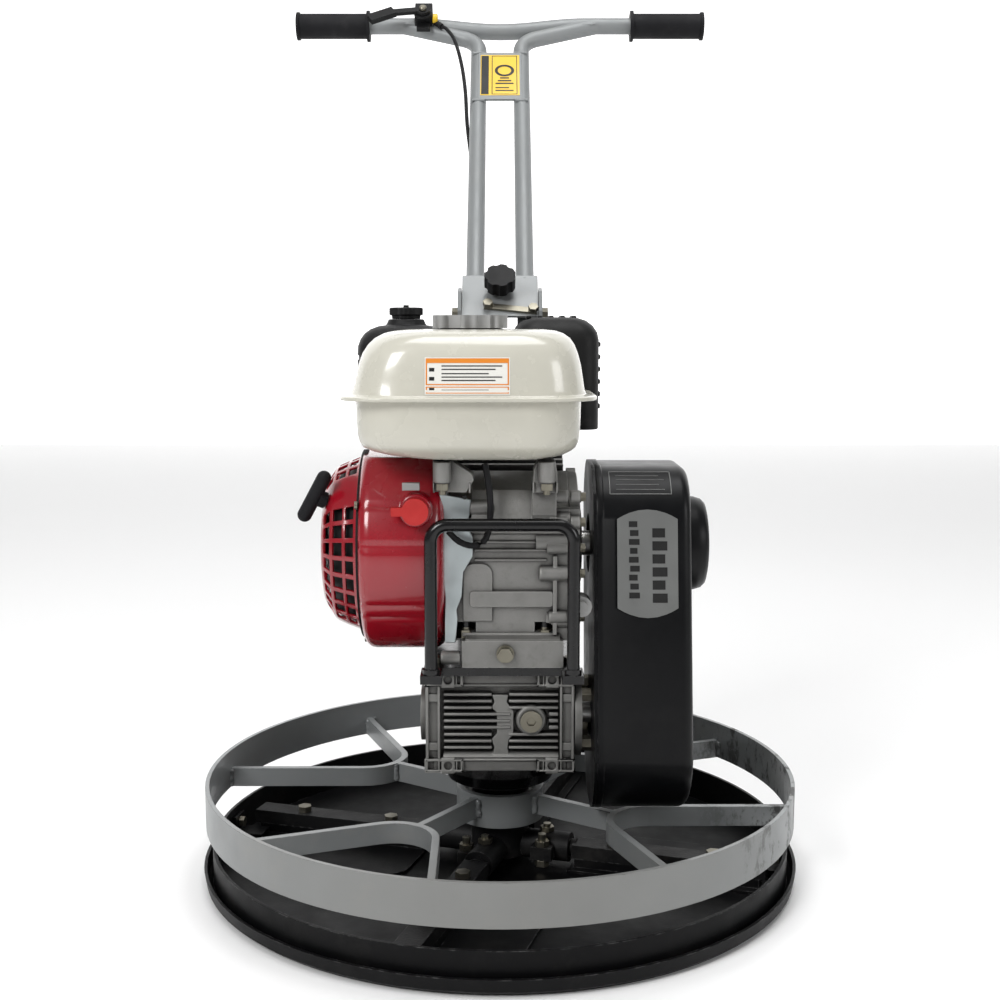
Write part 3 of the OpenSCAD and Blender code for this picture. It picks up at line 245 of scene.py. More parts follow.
MATS = {
    "ring_paint": paint(
        "ring_paint", (0.25, 0.262, 0.265), 0.36, 0.25, 0.1, wear=0.85, dust=0.3,
        bare=(0.05, 0.048, 0.045), scuffs=True,
    ),
    "handle_paint": paint(
        "handle_paint", (0.25, 0.262, 0.265), 0.42, 0.25, 0.0, wear=0.4, dust=0.15, bare=(0.14, 0.135, 0.13),
    ),
    "pan_black": paint(
        "pan_black", (0.003, 0.003, 0.0035), 0.42, 0, 0, wear=0.35, dust=0.03, sheen=0.15,
    ),
    "arm_black": paint(
        "arm_black", (0.007, 0.007, 0.0075), 0.48, 0, 0, wear=0.4, dust=0.08, peel=0.0002, sheen=0.2,
    ),
    "frame_black": paint(
        "frame_black", (0.003, 0.003, 0.0035), 0.2, 0, 0.25, wear=0.2, dust=0.02, sheen=0.3,
    ),
    "guard_black": paint(
        "guard_black", (0.0025, 0.0027, 0.0034), 0.3, 0, 0, wear=0.1, dust=0.01, peel=0.00005, sheen=0.2,
    ),
    "cast_aluminium": cast("cast_aluminium", (0.29, 0.287, 0.275)),
    "machined_steel": machined("machined_steel", (0.56, 0.56, 0.55)),
    "bolt_zinc": machined("bolt_zinc", (0.25, 0.235, 0.19), 0.3, 0.25),
    "wheel_bronze": machined("wheel_bronze", (0.58, 0.38, 0.16)),
    "pulley_iron": machined("pulley_iron", (0.16, 0.16, 0.165), 0.4),
    "belt_rubber": moulded("belt_rubber", (0.012, 0.012, 0.012), 0.7),
    "shroud_red": paint(
        "shroud_red", (0.30, 0.004, 0.013), 0.18, 0, 0.6, wear=0.0, dust=0.02, peel=0.00003,
    ),
    "tank_cream": paint(
        "tank_cream", (0.57, 0.555, 0.48), 0.2, 0, 0.6, wear=0.0, dust=0.05, peel=0.00003,
    ),
    "cap_silver": machined("cap_silver", (0.36, 0.36, 0.355), 0.38, 0.15),
    "engine_plastic": moulded("engine_plastic", (0.005, 0.005, 0.0055), 0.42, dust=0.04, sheen=0.25),
    "grip_rubber": moulded("grip_rubber", (0.006, 0.006, 0.0075), 0.5, 0.00022, 0.04, sheen=0.2),
    "switch_red": moulded("switch_red", (0.42, 0.009, 0.008), 0.38, 0.00004, 0.04),
    "exhaust_black": paint(
        "exhaust_black", (0.005, 0.005, 0.005), 0.45, 0, 0, wear=0.3, dust=0.05, peel=0.0002, sheen=0.25,
    ),
    "plug_ceramic": moulded("plug_ceramic", (0.68, 0.66, 0.6), 0.25, 0.00002, 0.1),
    "cable_black": moulded("cable_black", (0.006, 0.006, 0.007), 0.45, sheen=0.25),
    "tin_grey": machined("tin_grey", (0.50, 0.55, 0.56), 0.34, 0.08),
    "label_grey": paint(
        "label_grey", (0.21, 0.215, 0.21), 0.3, 0.5, 0.2, wear=0.0, dust=0.1, peel=0.00001,
    ),
    "label_dark": paint(
        "label_dark", (0.012, 0.012, 0.012), 0.4, 0, 0.2, wear=0.0, dust=0.03, peel=0.00001, sheen=0.3,
    ),
    "label_white": paint(
        "label_white", (0.80, 0.79, 0.74), 0.35, 0, 0.2, wear=0.0, dust=0.1, peel=0.00001,
    ),
    "label_orange": paint(
        "label_orange", (0.75, 0.24, 0.02), 0.35, 0, 0.2, wear=0.0, dust=0.05, peel=0.00001,
    ),
    "label_yellow": paint(
        "label_yellow", (0.80, 0.52, 0.02), 0.35, 0, 0.2, wear=0.0, dust=0.08, peel=0.00001,
    ),
}
for part in frame["record"]["subparts"]:
    holder = NODES[part["node"]]
    holder.data.materials.clear()
    holder.data.materials.append(MATS[part["material_slot"]])


# ---- shapes, in millimetres ----
class Shape:
    """Collects the faces of one piece."""

    def __init__(self):
        self.points = []
        self.faces = []

    def rings(self, rings, closed=True, caps=(True, True), skip=None):
        """Joins rings of equal length. skip(i, j) leaves a face out."""
        first = len(self.points)
        n = len(rings[0])
        for ring in rings:
            self.points.extend(Vector(p) for p in ring)
        for i in range(len(rings) - 1):
            for j in range(n if closed else n - 1):
                if skip and skip(i, j):
                    continue
                a, b = first + i * n + j, first + i * n + (j + 1) % n
                self.faces.append((a, b, b + n, a + n))
        if closed and caps[0]:
            self.faces.append(tuple(range(first + n - 1, first - 1, -1)))
        if closed and caps[1]:
            last = first + (len(rings) - 1) * n
            self.faces.append(tuple(range(last, last + n)))
        return self

    def block(self, low, high):
        """A box between two opposite corners."""
        (a, b, c), (d, e, f) = low, high
        lower = [(a, b, c), (d, b, c), (d, e, c), (a, e, c)]
        upper = [(a, b, f), (d, b, f), (d, e, f), (a, e, f)]
        return self.rings([lower, upper])

    def tube(self, path, radius, n=24, lumps=0.0, chance=None):
        """A round bar along a path; radius is one number or one per point."""
        path = [Vector(p) for p in path]
        side = None
        rings = []
        for i, p in enumerate(path):
            ahead = (path[min(i + 1, len(path) - 1)] - path[max(i - 1, 0)]).normalized()
            if side is None:
                across = Vector((0, 0, 1)) if abs(ahead.z) < 0.9 else Vector((1, 0, 0))
                side = ahead.cross(across).normalized()
            else:
                side = (side - ahead * side.dot(ahead)).normalized()
            up = ahead.cross(side)
            r = radius[i] if isinstance(radius, (list, tuple)) else radius
            ring = []
            for k in range(n):
                turn = 2 * math.pi * k / n
                grow = 1 + (lumps * chance.uniform(-1, 1) if chance else 0)
                ring.append(p + (side * math.cos(turn) + up * math.sin(turn)) * r * grow)
            rings.append(ring)
        return self.rings(rings)

    def lathe_x(self, profile, centre, n=96, skip=None, top=None, caps=(False, False)):
        """Turns (x, radius) points about an axis along X; top flattens what lies above that height."""
        rings = []
        for x, r in profile:
            ring = []
            for k in range(n):
                turn = 2 * math.pi * k / n
                z = centre[1] + r * math.sin(turn)
                ring.append((x, centre[0] + r * math.cos(turn), min(z, top) if top else z))
            rings.append(ring)
        return self.rings(rings, caps=caps, skip=skip)


def handle_place(x, y, z):
    """Handle directions (along the bar, up the tubes, out of the front) to the frame."""
    pivot_y, pivot_z = 208, 566
    c = math.sqrt(0.5)
    return (x, pivot_y + (y - z) * c, pivot_z + (y + z) * c)


def piece(name, shape, finish, body, smooth=35, bevel=0.0, thickness=0.0, stands_for=()):
    """Makes an object of a shape, lets it ride on a body, and hides the CAD nodes it replaces.
    """
    mesh = bpy.data.meshes.new(name)
    mesh.from_pydata([tuple(p * MM) for p in shape.points], [], shape.faces)
    work = bmesh.new()
    work.from_mesh(mesh)
    bmesh.ops.remove_doubles(work, verts=work.verts, dist=0.00002)
    bmesh.ops.recalc_face_normals(work, faces=work.faces)
    work.to_mesh(mesh)
    work.free()
    mesh.shade_smooth()
    mesh.set_sharp_from_angle(angle=math.radians(smooth))
    mesh.materials.append(MATS[finish])
    made = bpy.data.objects.new(name, mesh)
    bpy.context.scene.collection.objects.link(made)
    if thickness:
        wall = made.modifiers.new("wall", "SOLIDIFY")
        wall.thickness = thickness * MM
        wall.offset = -1
    if bevel:
        round_off = made.modifiers.new("round_off", "BEVEL")
        round_off.width = bevel * MM
        round_off.segments = 2
        round_off.limit_method = "ANGLE"
        round_off.angle_limit = math.radians(40)
    if stands_for:
        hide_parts(*stands_for)
    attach(made, body)
    return made


def rounded(x0, x1, y0, y1, r, z, n=8):
    """A rectangle with round corners at height z."""
    r = min(r, (x1 - x0) / 2 - 0.1, (y1 - y0) / 2 - 0.1)
    ring = []
    centres = ((x1 - r, y1 - r, 0), (x0 + r, y1 - r, 90), (x0 + r, y0 + r, 180), (x1 - r, y0 + r, 270))
    for cx, cy, start in centres:
        for k in range(n + 1):
            turn = math.radians(start + 90 * k / n)
            ring.append((cx + r * math.cos(turn), cy + r * math.sin(turn), z))
    return ring


def circle(cx, cy, r, z, n):
    """A level ring of n points."""
    ring = []
    for k in range(n):
        turn = k * math.pi / (n / 2)
        ring.append((cx + r * math.cos(turn), cy + r * math.sin(turn), z))
    return ring


# ---- fuel tank ----
TANK_FRONT = -165
# the wall over the flange: height, inset on the left, right, front and back
TANK_UPPER = (
    (493.2, 9, 9.4, 5.6, 7), (497, 11, 11, 6.6, 8), (508, 13.5, 12.6, 7.8, 9.5),
    (520, 16.5, 14.4, 9.2, 11.5), (530, 20, 17, 11, 14), (538, 25, 20, 14, 18),
    (544, 31, 24, 18.5, 23), (548.4, 39, 30, 25.5, 30), (550.8, 49, 37, 34, 39), (552, 62, 48, 44, 50),
)


def tank():
    """Pressed tank: flat flange, a slanted underside on the left, a shoulder all round the top."""
    left, right, back = -147, 89, 15
    corner, upper_corner = 46, 47
    # height, inset on the left, right, front and back, corner radius
    under = (
        (433.4, 74, 50, 34, 30, 30), (434.6, 60, 38, 27, 22, 34), (437, 42, 29, 22, 17, 38),
        (440.5, 28, 22.5, 17, 14, 41), (444, 20, 18.5, 13, 12, 44), (449, 16.5, 16, 10.5, 10.5, 45),
        (456, 15, 15, 9.4, 10, 46), (470, 14.2, 14.4, 8.8, 9.6, 46), (488, 13.6, 14, 8.4, 9.4, 46),
    )
    # height and inset all round
    flange = ((488.2, 6), (488.0, 0.9), (488.6, 0), (491.2, 0), (491.9, 0.9), (492.2, 4))
    rings = []
    for z, l, r, f, b, c in under:
        rings.append(rounded(left + l, right - r, TANK_FRONT + f, back - b, c, z))
    for z, i in flange:
        rings.append(rounded(left + i, right - i, TANK_FRONT + i, back - i, corner, z))
    for z, l, r, f, b in TANK_UPPER:
        rings.append(rounded(left + l, right - r, TANK_FRONT + f, back - b, upper_corner, z))
    body = Shape().rings(rings)
    piece("tank_shell", body, "tank_cream", "chassis", smooth=50, bevel=0.5, stands_for=("fuel_tank",))
    cap_x, cap_y = -28, -78
    levels = ((549, 33), (551.8, 32), (552.8, 30), (553, 28), (553, 23), (549, 23))
    neck = Shape().rings([circle(cap_x, cap_y, r, z, 48) for z, r in levels], caps=(False, False))
    piece("filler_neck", neck, "cap_silver", "chassis", bevel=0.3)


# ---- air cleaner, silencer guard and tank brackets ----
def air_cleaner():
    """Rounded cover with a seam, a raised seat, and a wing nut with four lobes on a stud."""
    nut_x, nut_y = -101, 110
    # height, inset all round, corner radius
    levels = (
        (474.2, 3, 22), (474.2, 0.4, 24), (475, 0, 24), (519, 0, 24), (520, 1.2, 24), (524, 1.2, 24),
        (525, 0, 24), (534, 0.6, 24), (541, 3, 24), (547, 7, 24), (551.5, 13, 22), (554.6, 21, 18),
        (556, 31, 12),
    )
    body = Shape()
    body.rings([rounded(-150 + i, -52 - i, 48 + i, 172 - i, r, z) for z, i, r in levels])
    seat = ((555.5, 22), (558, 20.5), (561.6, 19), (562, 17.5))
    body.rings([circle(nut_x, nut_y, r, z, 36) for z, r in seat])
    piece("air_cleaner_shell", body, "engine_plastic", "chassis", smooth=40, bevel=0.4,
          stands_for=("air_cleaner_cover",))
    rings = []
    for z, r in ((562.1, 13), (566, 13.4), (566.6, 15.6), (573.4, 15.6), (574.4, 14.4), (574.6, 9)):
        ring = []
        for k in range(64):
            lobe = 1 + 0.16 * math.cos(4 * k * math.pi / 32)
            turn = k * math.pi / 32
            ring.append((nut_x + r * lobe * math.cos(turn), nut_y + r * lobe * math.sin(turn), z))
        rings.append(ring)
    piece("air_cleaner_wing_nut", Shape().rings(rings), "engine_plastic", "cleaner_nut", smooth=40, bevel=0.4,
          stands_for=("air_cleaner_nut",))
    path = [(nut_x, nut_y, z) for z in (573, 576.4, 577)]
    piece("air_cleaner_stud", Shape().tube(path, [3, 3, 2.2], 16), "bolt_zinc", "chassis")


def silencer():
    """Silencer guard: a pressed box with a rounded top, and ribs on its right side and its top."""
    # height, inset all round, corner radius
    levels = (
        (446.6, 0.6, 18), (448, 0, 20), (540, 0, 20), (548, 1.6, 20), (555, 6, 20), (560.5, 13, 18),
        (563.4, 22, 14), (564, 32, 9),
    )
    shell = Shape()
    shell.rings([rounded(12 + i, 104 - i, 54 + i, 168 - i, r, z) for z, i, r in levels], caps=(False, True))
    piece("silencer_guard", shell, "exhaust_black", "chassis", smooth=40, thickness=2, bevel=0.3,
          stands_for=("muffler_shield",))
    ribs = Shape()
    for row in range(6):
        z = 468 + 13 * row
        ribs.block((102.4, 74, z), (106, 148, z + 5))
    for k in range(5):
        x = 28 + 12 * k
        ribs.block((x, 86, 562), (x + 5, 136, 565.6))
    piece("silencer_louvres", ribs, "exhaust_black", "chassis", bevel=1.2)


def tank_brackets():
    """Two collars under the tank's front, the arms that hold them, and their bolts."""
    collars = (-53, 43)
    collar_y = -128
    arms = Shape()
    for x in collars:
        arms.tube([(x, collar_y, 411.9), (x, collar_y, 414), (x, collar_y, 432)], [7, 8.2, 8.2], 32)
    left = ((-62, 403), (-31, 402), (-24, 414), (-26, 420), (-42, 431), (-45, 433), (-62, 433))
    right = ((30, 402), (53, 402), (53, 420), (51, 432), (35, 432), (31, 424))
    for outline in (left, right):
        arms.rings([[(x, y, z) for x, z in outline] for y in (-122, -116, -100)])
    for a, b in ((-62, -60), (-29, -27), (30, 32.4), (51, 53.4)):
        arms.block((a, -124, 402), (b, -100, 412))
    piece("tank_bracket_arms", arms, "cast_aluminium", "chassis", smooth=35, bevel=1.4,
          stands_for=("tank_mounts",))
    heads = Shape()
    for x in collars:
        heads.tube([(x, collar_y, 405), (x, collar_y, 411.6)], 6.2, 6)
        heads.tube([(x, collar_y, 401), (x, collar_y, 405.2)], 3.4, 16)
    piece("tank_bracket_bolts", heads, "bolt_zinc", "chassis", bevel=0.5)


# ---- recoil starter and fan scroll ----
# the crankshaft's place, along Y and Z
ENGINE = (-25, 340)


def recoil():
    """Conical cover with rows of slots."""
    profile = [
        (-171.9, 12), (-171.9, 40), (-171.9, 56), (-171.2, 60), (-168.5, 65), (-161.5, 75.5),
        (-158.5, 77.6), (-149, 81.8), (-146, 82.8), (-138, 86), (-135.5, 87.5), (-134.2, 91.5), (-133.2, 92),
    ]
    count = 120

    def cut(i, j):
        if i == 1:
            return j % 10 in (1, 2, 3)
        near_eye = 42 <= j <= 48
        return i in (4, 6, 8) and j % 4 in (1, 2, 3) and j % 40 > 3 and not near_eye

    body = Shape().lathe_x(profile, ENGINE, count, skip=cut)
    piece("recoil_shell", body, "shroud_red", "chassis", smooth=40, thickness=2.4, bevel=0.5,
          stands_for=("recoil_cover",))
    liner = Shape().lathe_x([(-165, 8.5), (-165, 56), (-157, 70), (-136, 80)], ENGINE, 64)
    piece("recoil_liner", liner, "engine_plastic", "chassis")
    hub = Shape().lathe_x([(-172, 0.1), (-172, 10), (-171, 13), (-168, 13.5)], ENGINE, 48, caps=(True, False))
    piece("recoil_hub", hub, "engine_plastic", "chassis")
    seam = Shape().lathe_x([(-134.8, 90.4), (-134.8, 93.4), (-131.4, 93.4), (-131.4, 90.4)], ENGINE, 96)
    piece("recoil_seam", seam, "engine_plastic", "chassis")


def scroll():
    """Fan scroll with a rounded rim, flat under the tank, and shallow creases along the front."""
    profile = [
        (-132.9, 82), (-132.9, 92), (-132.2, 96.5), (-129.5, 101), (-125.5, 103.4), (-121, 104), (-66, 104),
        (-60, 103), (-56, 100), (-53, 95), (-52.2, 90), (-52.2, 60),
    ]
    count = 180
    top = 430.5
    rim = 90
    body = Shape()
    rings = []
    creases = ((173, 1.6), (152, 1.4), (206, 1.6), (214, 1.6))
    for x, r in profile:
        ring = []
        for k in range(count):
            turn = 360 * k / count
            groove = sum(depth for at, depth in creases if abs(turn - at) < 1.1) if -126 < x < -60 else 0
            side = math.radians(turn)
            y = ENGINE[0] + (r - groove) * math.cos(side)
            z = ENGINE[1] + (r - groove) * math.sin(side)
            if z > top:
                z = top - (0.0 if r > rim else 1.0)
            ring.append((x, y, z))
        rings.append(ring)
    body.rings(rings, caps=(False, False))
    # duct towards the cylinder
    duct = ((0, 430), (58, 425), (59.5, 421), (59.5, 324), (57, 320), (0, 320))
    body.rings([[(x, y, z) for y, z in duct] for x in (-109, -53)])
    piece("fan_scroll", body, "shroud_red", "chassis", smooth=38, stands_for=("fan_housing",))
    boss = Shape().tube([(-78, y, 386) for y in (-108, -126, -128.6)], [17, 15.5, 14.5], 48)
    piece("switch_boss", boss, "shroud_red", "chassis", bevel=0.6)
    plate = Shape().block((-90, -129, 405), (-74, -122, 412))
    piece("maker_plate", plate, "cap_silver", "chassis", bevel=0.4)


# ---- belt guard ----
def guard_ring_points(x, g, steps=14):
    """The guard's outline at x, g outside its wall."""
    ring = []
    # corner centre along Y and Z, radius, first and last angle
    corners = (
        (-74, 162, 74, 187, 265), (-52, 162, 74, 275, 352), (2, 367, 54, 4, 88), (-50, 367, 54, 92, 172),
    )
    for cy, cz, r, start, end in corners:
        for k in range(steps + 1):
            turn = math.radians(start + (end - start) * k / steps)
            ring.append((x, cy + (r + g) * math.cos(turn), cz + (r + g) * math.sin(turn)))
    return ring


def guard_front(x, height, out=0.0):
    """A point on the guard's front wall, out mm in front of it: flat at first, then round over the top."""
    flat_y, flat_z = -147.4, 153
    bend_y, bend_z = -103.5, 374.5
    centre_y, centre_z, radius = -50, 367, 54
    lean = (bend_y - flat_y) / (bend_z - flat_z)
    if height <= bend_z:
        n = math.hypot(1, lean)
        return (x, flat_y + (height - flat_z) * lean - out / n, height + out * lean / n)
    turn = math.radians(172) - (height - bend_z) / radius
    return (x, centre_y + (radius + out) * math.cos(turn), centre_z + (radius + out) * math.sin(turn))


def belt_guard():
    """Deep cover with a rolled rim and a round hub, and its label and frame of plain bars."""
    wall_end, edge = 171, 10
    levels = ((91.1, -3), (91.1, -0.4), (92.2, 0), (97, 0), (97.8, -0.9), (wall_end, -0.9))
    rings = [guard_ring_points(x, g) for x, g in levels]
    for k in range(1, 9):
        turn = math.radians(90 * k / 8)
        rings.append(guard_ring_points(wall_end + edge * math.sin(turn), -0.9 - edge * (1 - math.cos(turn))))
    body = Shape().rings(rings, caps=(False, True))
    hub = [
        (180.6, 49), (181.4, 47.6), (192, 46.6), (199, 44.5), (202.6, 41), (203.9, 36), (203.9, 25),
        (202.4, 23), (200, 22), (200, 0.5),
    ]
    body.lathe_x(hub, ENGINE, 72, caps=(False, True))
    piece("belt_guard_shell", body, "guard_black", "chassis", smooth=48, stands_for=("belt_guard_cover",))

    def across(x, height):
        """Label directions, -1..1 each way, to the guard: a plate with bowed ends."""
        return (138.5 + 28.5 * x, 334 + height * (50 - 9 * x * x))

    spread = [-1, -0.95, -0.8, -0.6, -0.3, 0, 0.3, 0.6, 0.8, 0.95, 1]
    rows = [[across(x, -1 + k / 12) for x in spread] for k in range(25)]
    label = Shape().rings([[guard_front(x, z, 0.35) for x, z in row] for row in rows], closed=False)
    piece("guard_label", label, "label_grey", "chassis")
    marks = Shape()

    def mark(x0, x1, z0, z1):
        first = len(marks.points)
        outline = ((x0, z0), (x1, z0), (x1, z1), (x0, z1))
        marks.points += [Vector(guard_front(x, z, 0.55)) for x, z in outline]
        marks.faces.append((first, first + 1, first + 2, first + 3))

    # two columns of plain bars
    for k in range(9):
        mark(121 + (k % 2), 131 - (k % 3), 302 + 8.2 * k, 307.4 + 8.2 * k)
    for k in range(6):
        mark(143, 157 - 2 * (k % 2), 298 + 12 * k, 306.5 + 12 * k)
    piece("guard_label_marks", marks, "label_dark", "chassis")
    lines = Shape()
    corners = [(104, 400), (162, 400), (162, 430), (104, 430)]
    for (xa, za), (xb, zb) in zip(corners, corners[1:] + corners[:1]):
        path = [guard_front(xa + (xb - xa) * k / 8, za + (zb - za) * k / 8, -0.75) for k in range(9)]
        lines.tube(path, 0.45, 6)
    for k in range(4):
        ends = (110, 130, 150, 156 - 5 * (k % 2))
        lines.tube([guard_front(x, 405 + k * 6, -0.75) for x in ends], 0.35, 6)
    piece("guard_spec_frame", lines, "label_grey", "chassis")


# ---- stickers of the tank and the handle ----
def stickers():
    """Plain bars and a ring in place of the labels' text and pictures."""

    def quad(shape, place, a, b, c, d):
        """A grid over x a..b and height c..d, put in place by place(x, height)."""
        nx, ny = 10, 4
        rows = []
        for j in range(ny + 1):
            height = c + (d - c) * j / ny
            rows.append([place(a + (b - a) * i / nx, height) for i in range(nx + 1)])
        return shape.rings(rows, closed=False)

    def on_tank(out):
        """Returns what puts a point out mm in front of the tank's upper front wall."""
        levels = [(z, f) for z, _, _, f, _ in TANK_UPPER[:6]]

        def place(x, z):
            for (za, fa), (zb, fb) in zip(levels, levels[1:]):
                if z <= zb:
                    return (x, TANK_FRONT + fa + (fb - fa) * (z - za) / (zb - za) - out, z)
            raise ValueError("above the tank's front wall")
        return place

    label = quad(Shape(), on_tank(0.3), -67, 9, 494.5, 527.5)
    piece("tank_label", label, "label_white", "chassis")
    strip = Shape()
    place = on_tank(0.5)
    # left, right, lower and upper edge of each bar
    bars = (
        (-66, 8, 522.5, 526.6), (-66, -64.8, 503.6, 522.5), (6.8, 8, 503.6, 522.5), (-66, 8, 503, 504),
        (-66, -64.8, 496, 501.6), (6.8, 8, 496, 501.6), (-66, 8, 500.8, 501.6), (-66, 8, 495.6, 496.4),
    )
    for a, b, c, d in bars:
        quad(strip, place, a, b, c, d)
    piece("tank_label_frame", strip, "label_orange", "chassis")
    text = Shape()
    for row, z in enumerate((519.4, 516.4, 512.6, 509.6, 506.6, 498)):
        quad(text, place, -52, 2 - 6 * (row % 3), z, z + 1.0)
    for z in (515, 507, 497.4):
        quad(text, place, -63, -58.4, z, z + 3.2)
    piece("tank_label_lines", text, "label_dark", "chassis")

    def on_plate(out):
        return lambda x, y: handle_place(x, y, 11.5 + out)

    label = quad(Shape(), on_plate(0.25), -26, 26, 398, 487)
    piece("plate_label", label, "label_yellow", "handle")
    dark = Shape()
    place = on_plate(0.45)
    quad(dark, place, -25, -15, 400, 485)
    bars = (
        (-11, 23, 400, 401), (-11, 23, 484, 485), (22, 23, 401, 484), (-11, -10, 401, 484),
        (-6, 18, 407, 409.4), (-6, 12, 413, 415.4),
    )
    for a, b, c, d in bars:
        quad(dark, place, a, b, c, d)
    ring = [[place(x, y) for x, y, _ in circle(6, 452, r, 0, 40)] for r in (9, 13)]
    dark.rings(ring, caps=(False, False))
    for k in range(3):
        quad(dark, place, -6 + 3 * k, 18 - 3 * k, 422 + 6 * k, 425 + 6 * k)
    piece("plate_label_marks", dark, "label_dark", "handle")


# ---- handle ----
def handle():
    """One welded frame of two tubes, a bar that sags in the middle, and the label's plate."""
    body = Shape()
    reach, bow, half = 572, 14, 280
    bar_radius, tube_radius = 11, 10.7
    line = []
    for k in range(57):
        x = -half + 10 * k
        sag = bow * (1 + math.cos(math.pi * x / 120)) / 2 if abs(x) < 120 else 0
        line.append(handle_place(x, reach - sag, 0))
    body.tube(line, bar_radius, 32)
    bend, start, spread, join = 32, 511, 29, 136
    for s in (-1, 1):
        path = [(spread, 6), (spread, 200), (spread, 400), (spread, 500)]
        for a in range(0, 71, 7):
            t = math.radians(a)
            path.append((spread + bend * (1 - math.cos(t)), start + bend * math.sin(t)))
        t = math.radians(70)
        end = (join, start + bend * math.sin(t) + (join - spread - bend * (1 - math.cos(t))) / math.tan(t))
        for k in (0.25, 0.5, 0.75, 1):
            path.append((path[14][0] + (end[0] - path[14][0]) * k, path[14][1] + (end[1] - path[14][1]) * k))
        body.tube([handle_place(s * x, y, 0) for x, y in path], tube_radius, 32)
    plate = ((-29, 390), (29, 390), (29, 493), (-29, 493))
    body.rings([[handle_place(x, y, z) for x, y in plate] for z in (8.5, 11.5)])
    piece("handle_frame", body, "handle_paint", "handle", smooth=40, stands_for=("handlebar", "handle_tubes"))
    tag = Shape().tube([handle_place(x, 560, 20) for x in (-93.5, -92.5, -87, -86)], [5, 6.5, 6.5, 5], 24)
    piece("clamp_tag", tag, "label_yellow", "handle", bevel=0.3)
    stud = Shape().tube([handle_place(-106, 560.5, z) for z in (34.3, 38, 39.2)], [5, 5, 3.5], 24)
    piece("lever_stud", stud, "bolt_zinc", "handle", bevel=0.4)
    chance = random.Random(4)
    beads = Shape()
    for s in (-1, 1):
        for x0, x1, y in ((20, 37, 389.4), (20, 37, 493.6)):
            path = [handle_place(s * (x0 + (x1 - x0) * k / 10), y, 10.2) for k in range(11)]
            beads.tube(path, 2.2, 8, 0.3, chance)
        path = [handle_place(s * (96 + 36 * k / 16), 561.5 + 2.6 * k / 16, 8.5) for k in range(17)]
        beads.tube(path, 2.0, 8, 0.3, chance)
        path = []
        for k in range(9):
            turn = k * 0.4
            x = 29 + 11.6 * math.cos(turn)
            path.append(handle_place(s * x, 50 + 1.2 * math.sin(k), 1 + 11.6 * math.sin(turn)))
        beads.tube(path, 1.6, 8, 0.3, chance)
    piece("handle_welds", beads, "handle_paint", "handle", smooth=80)


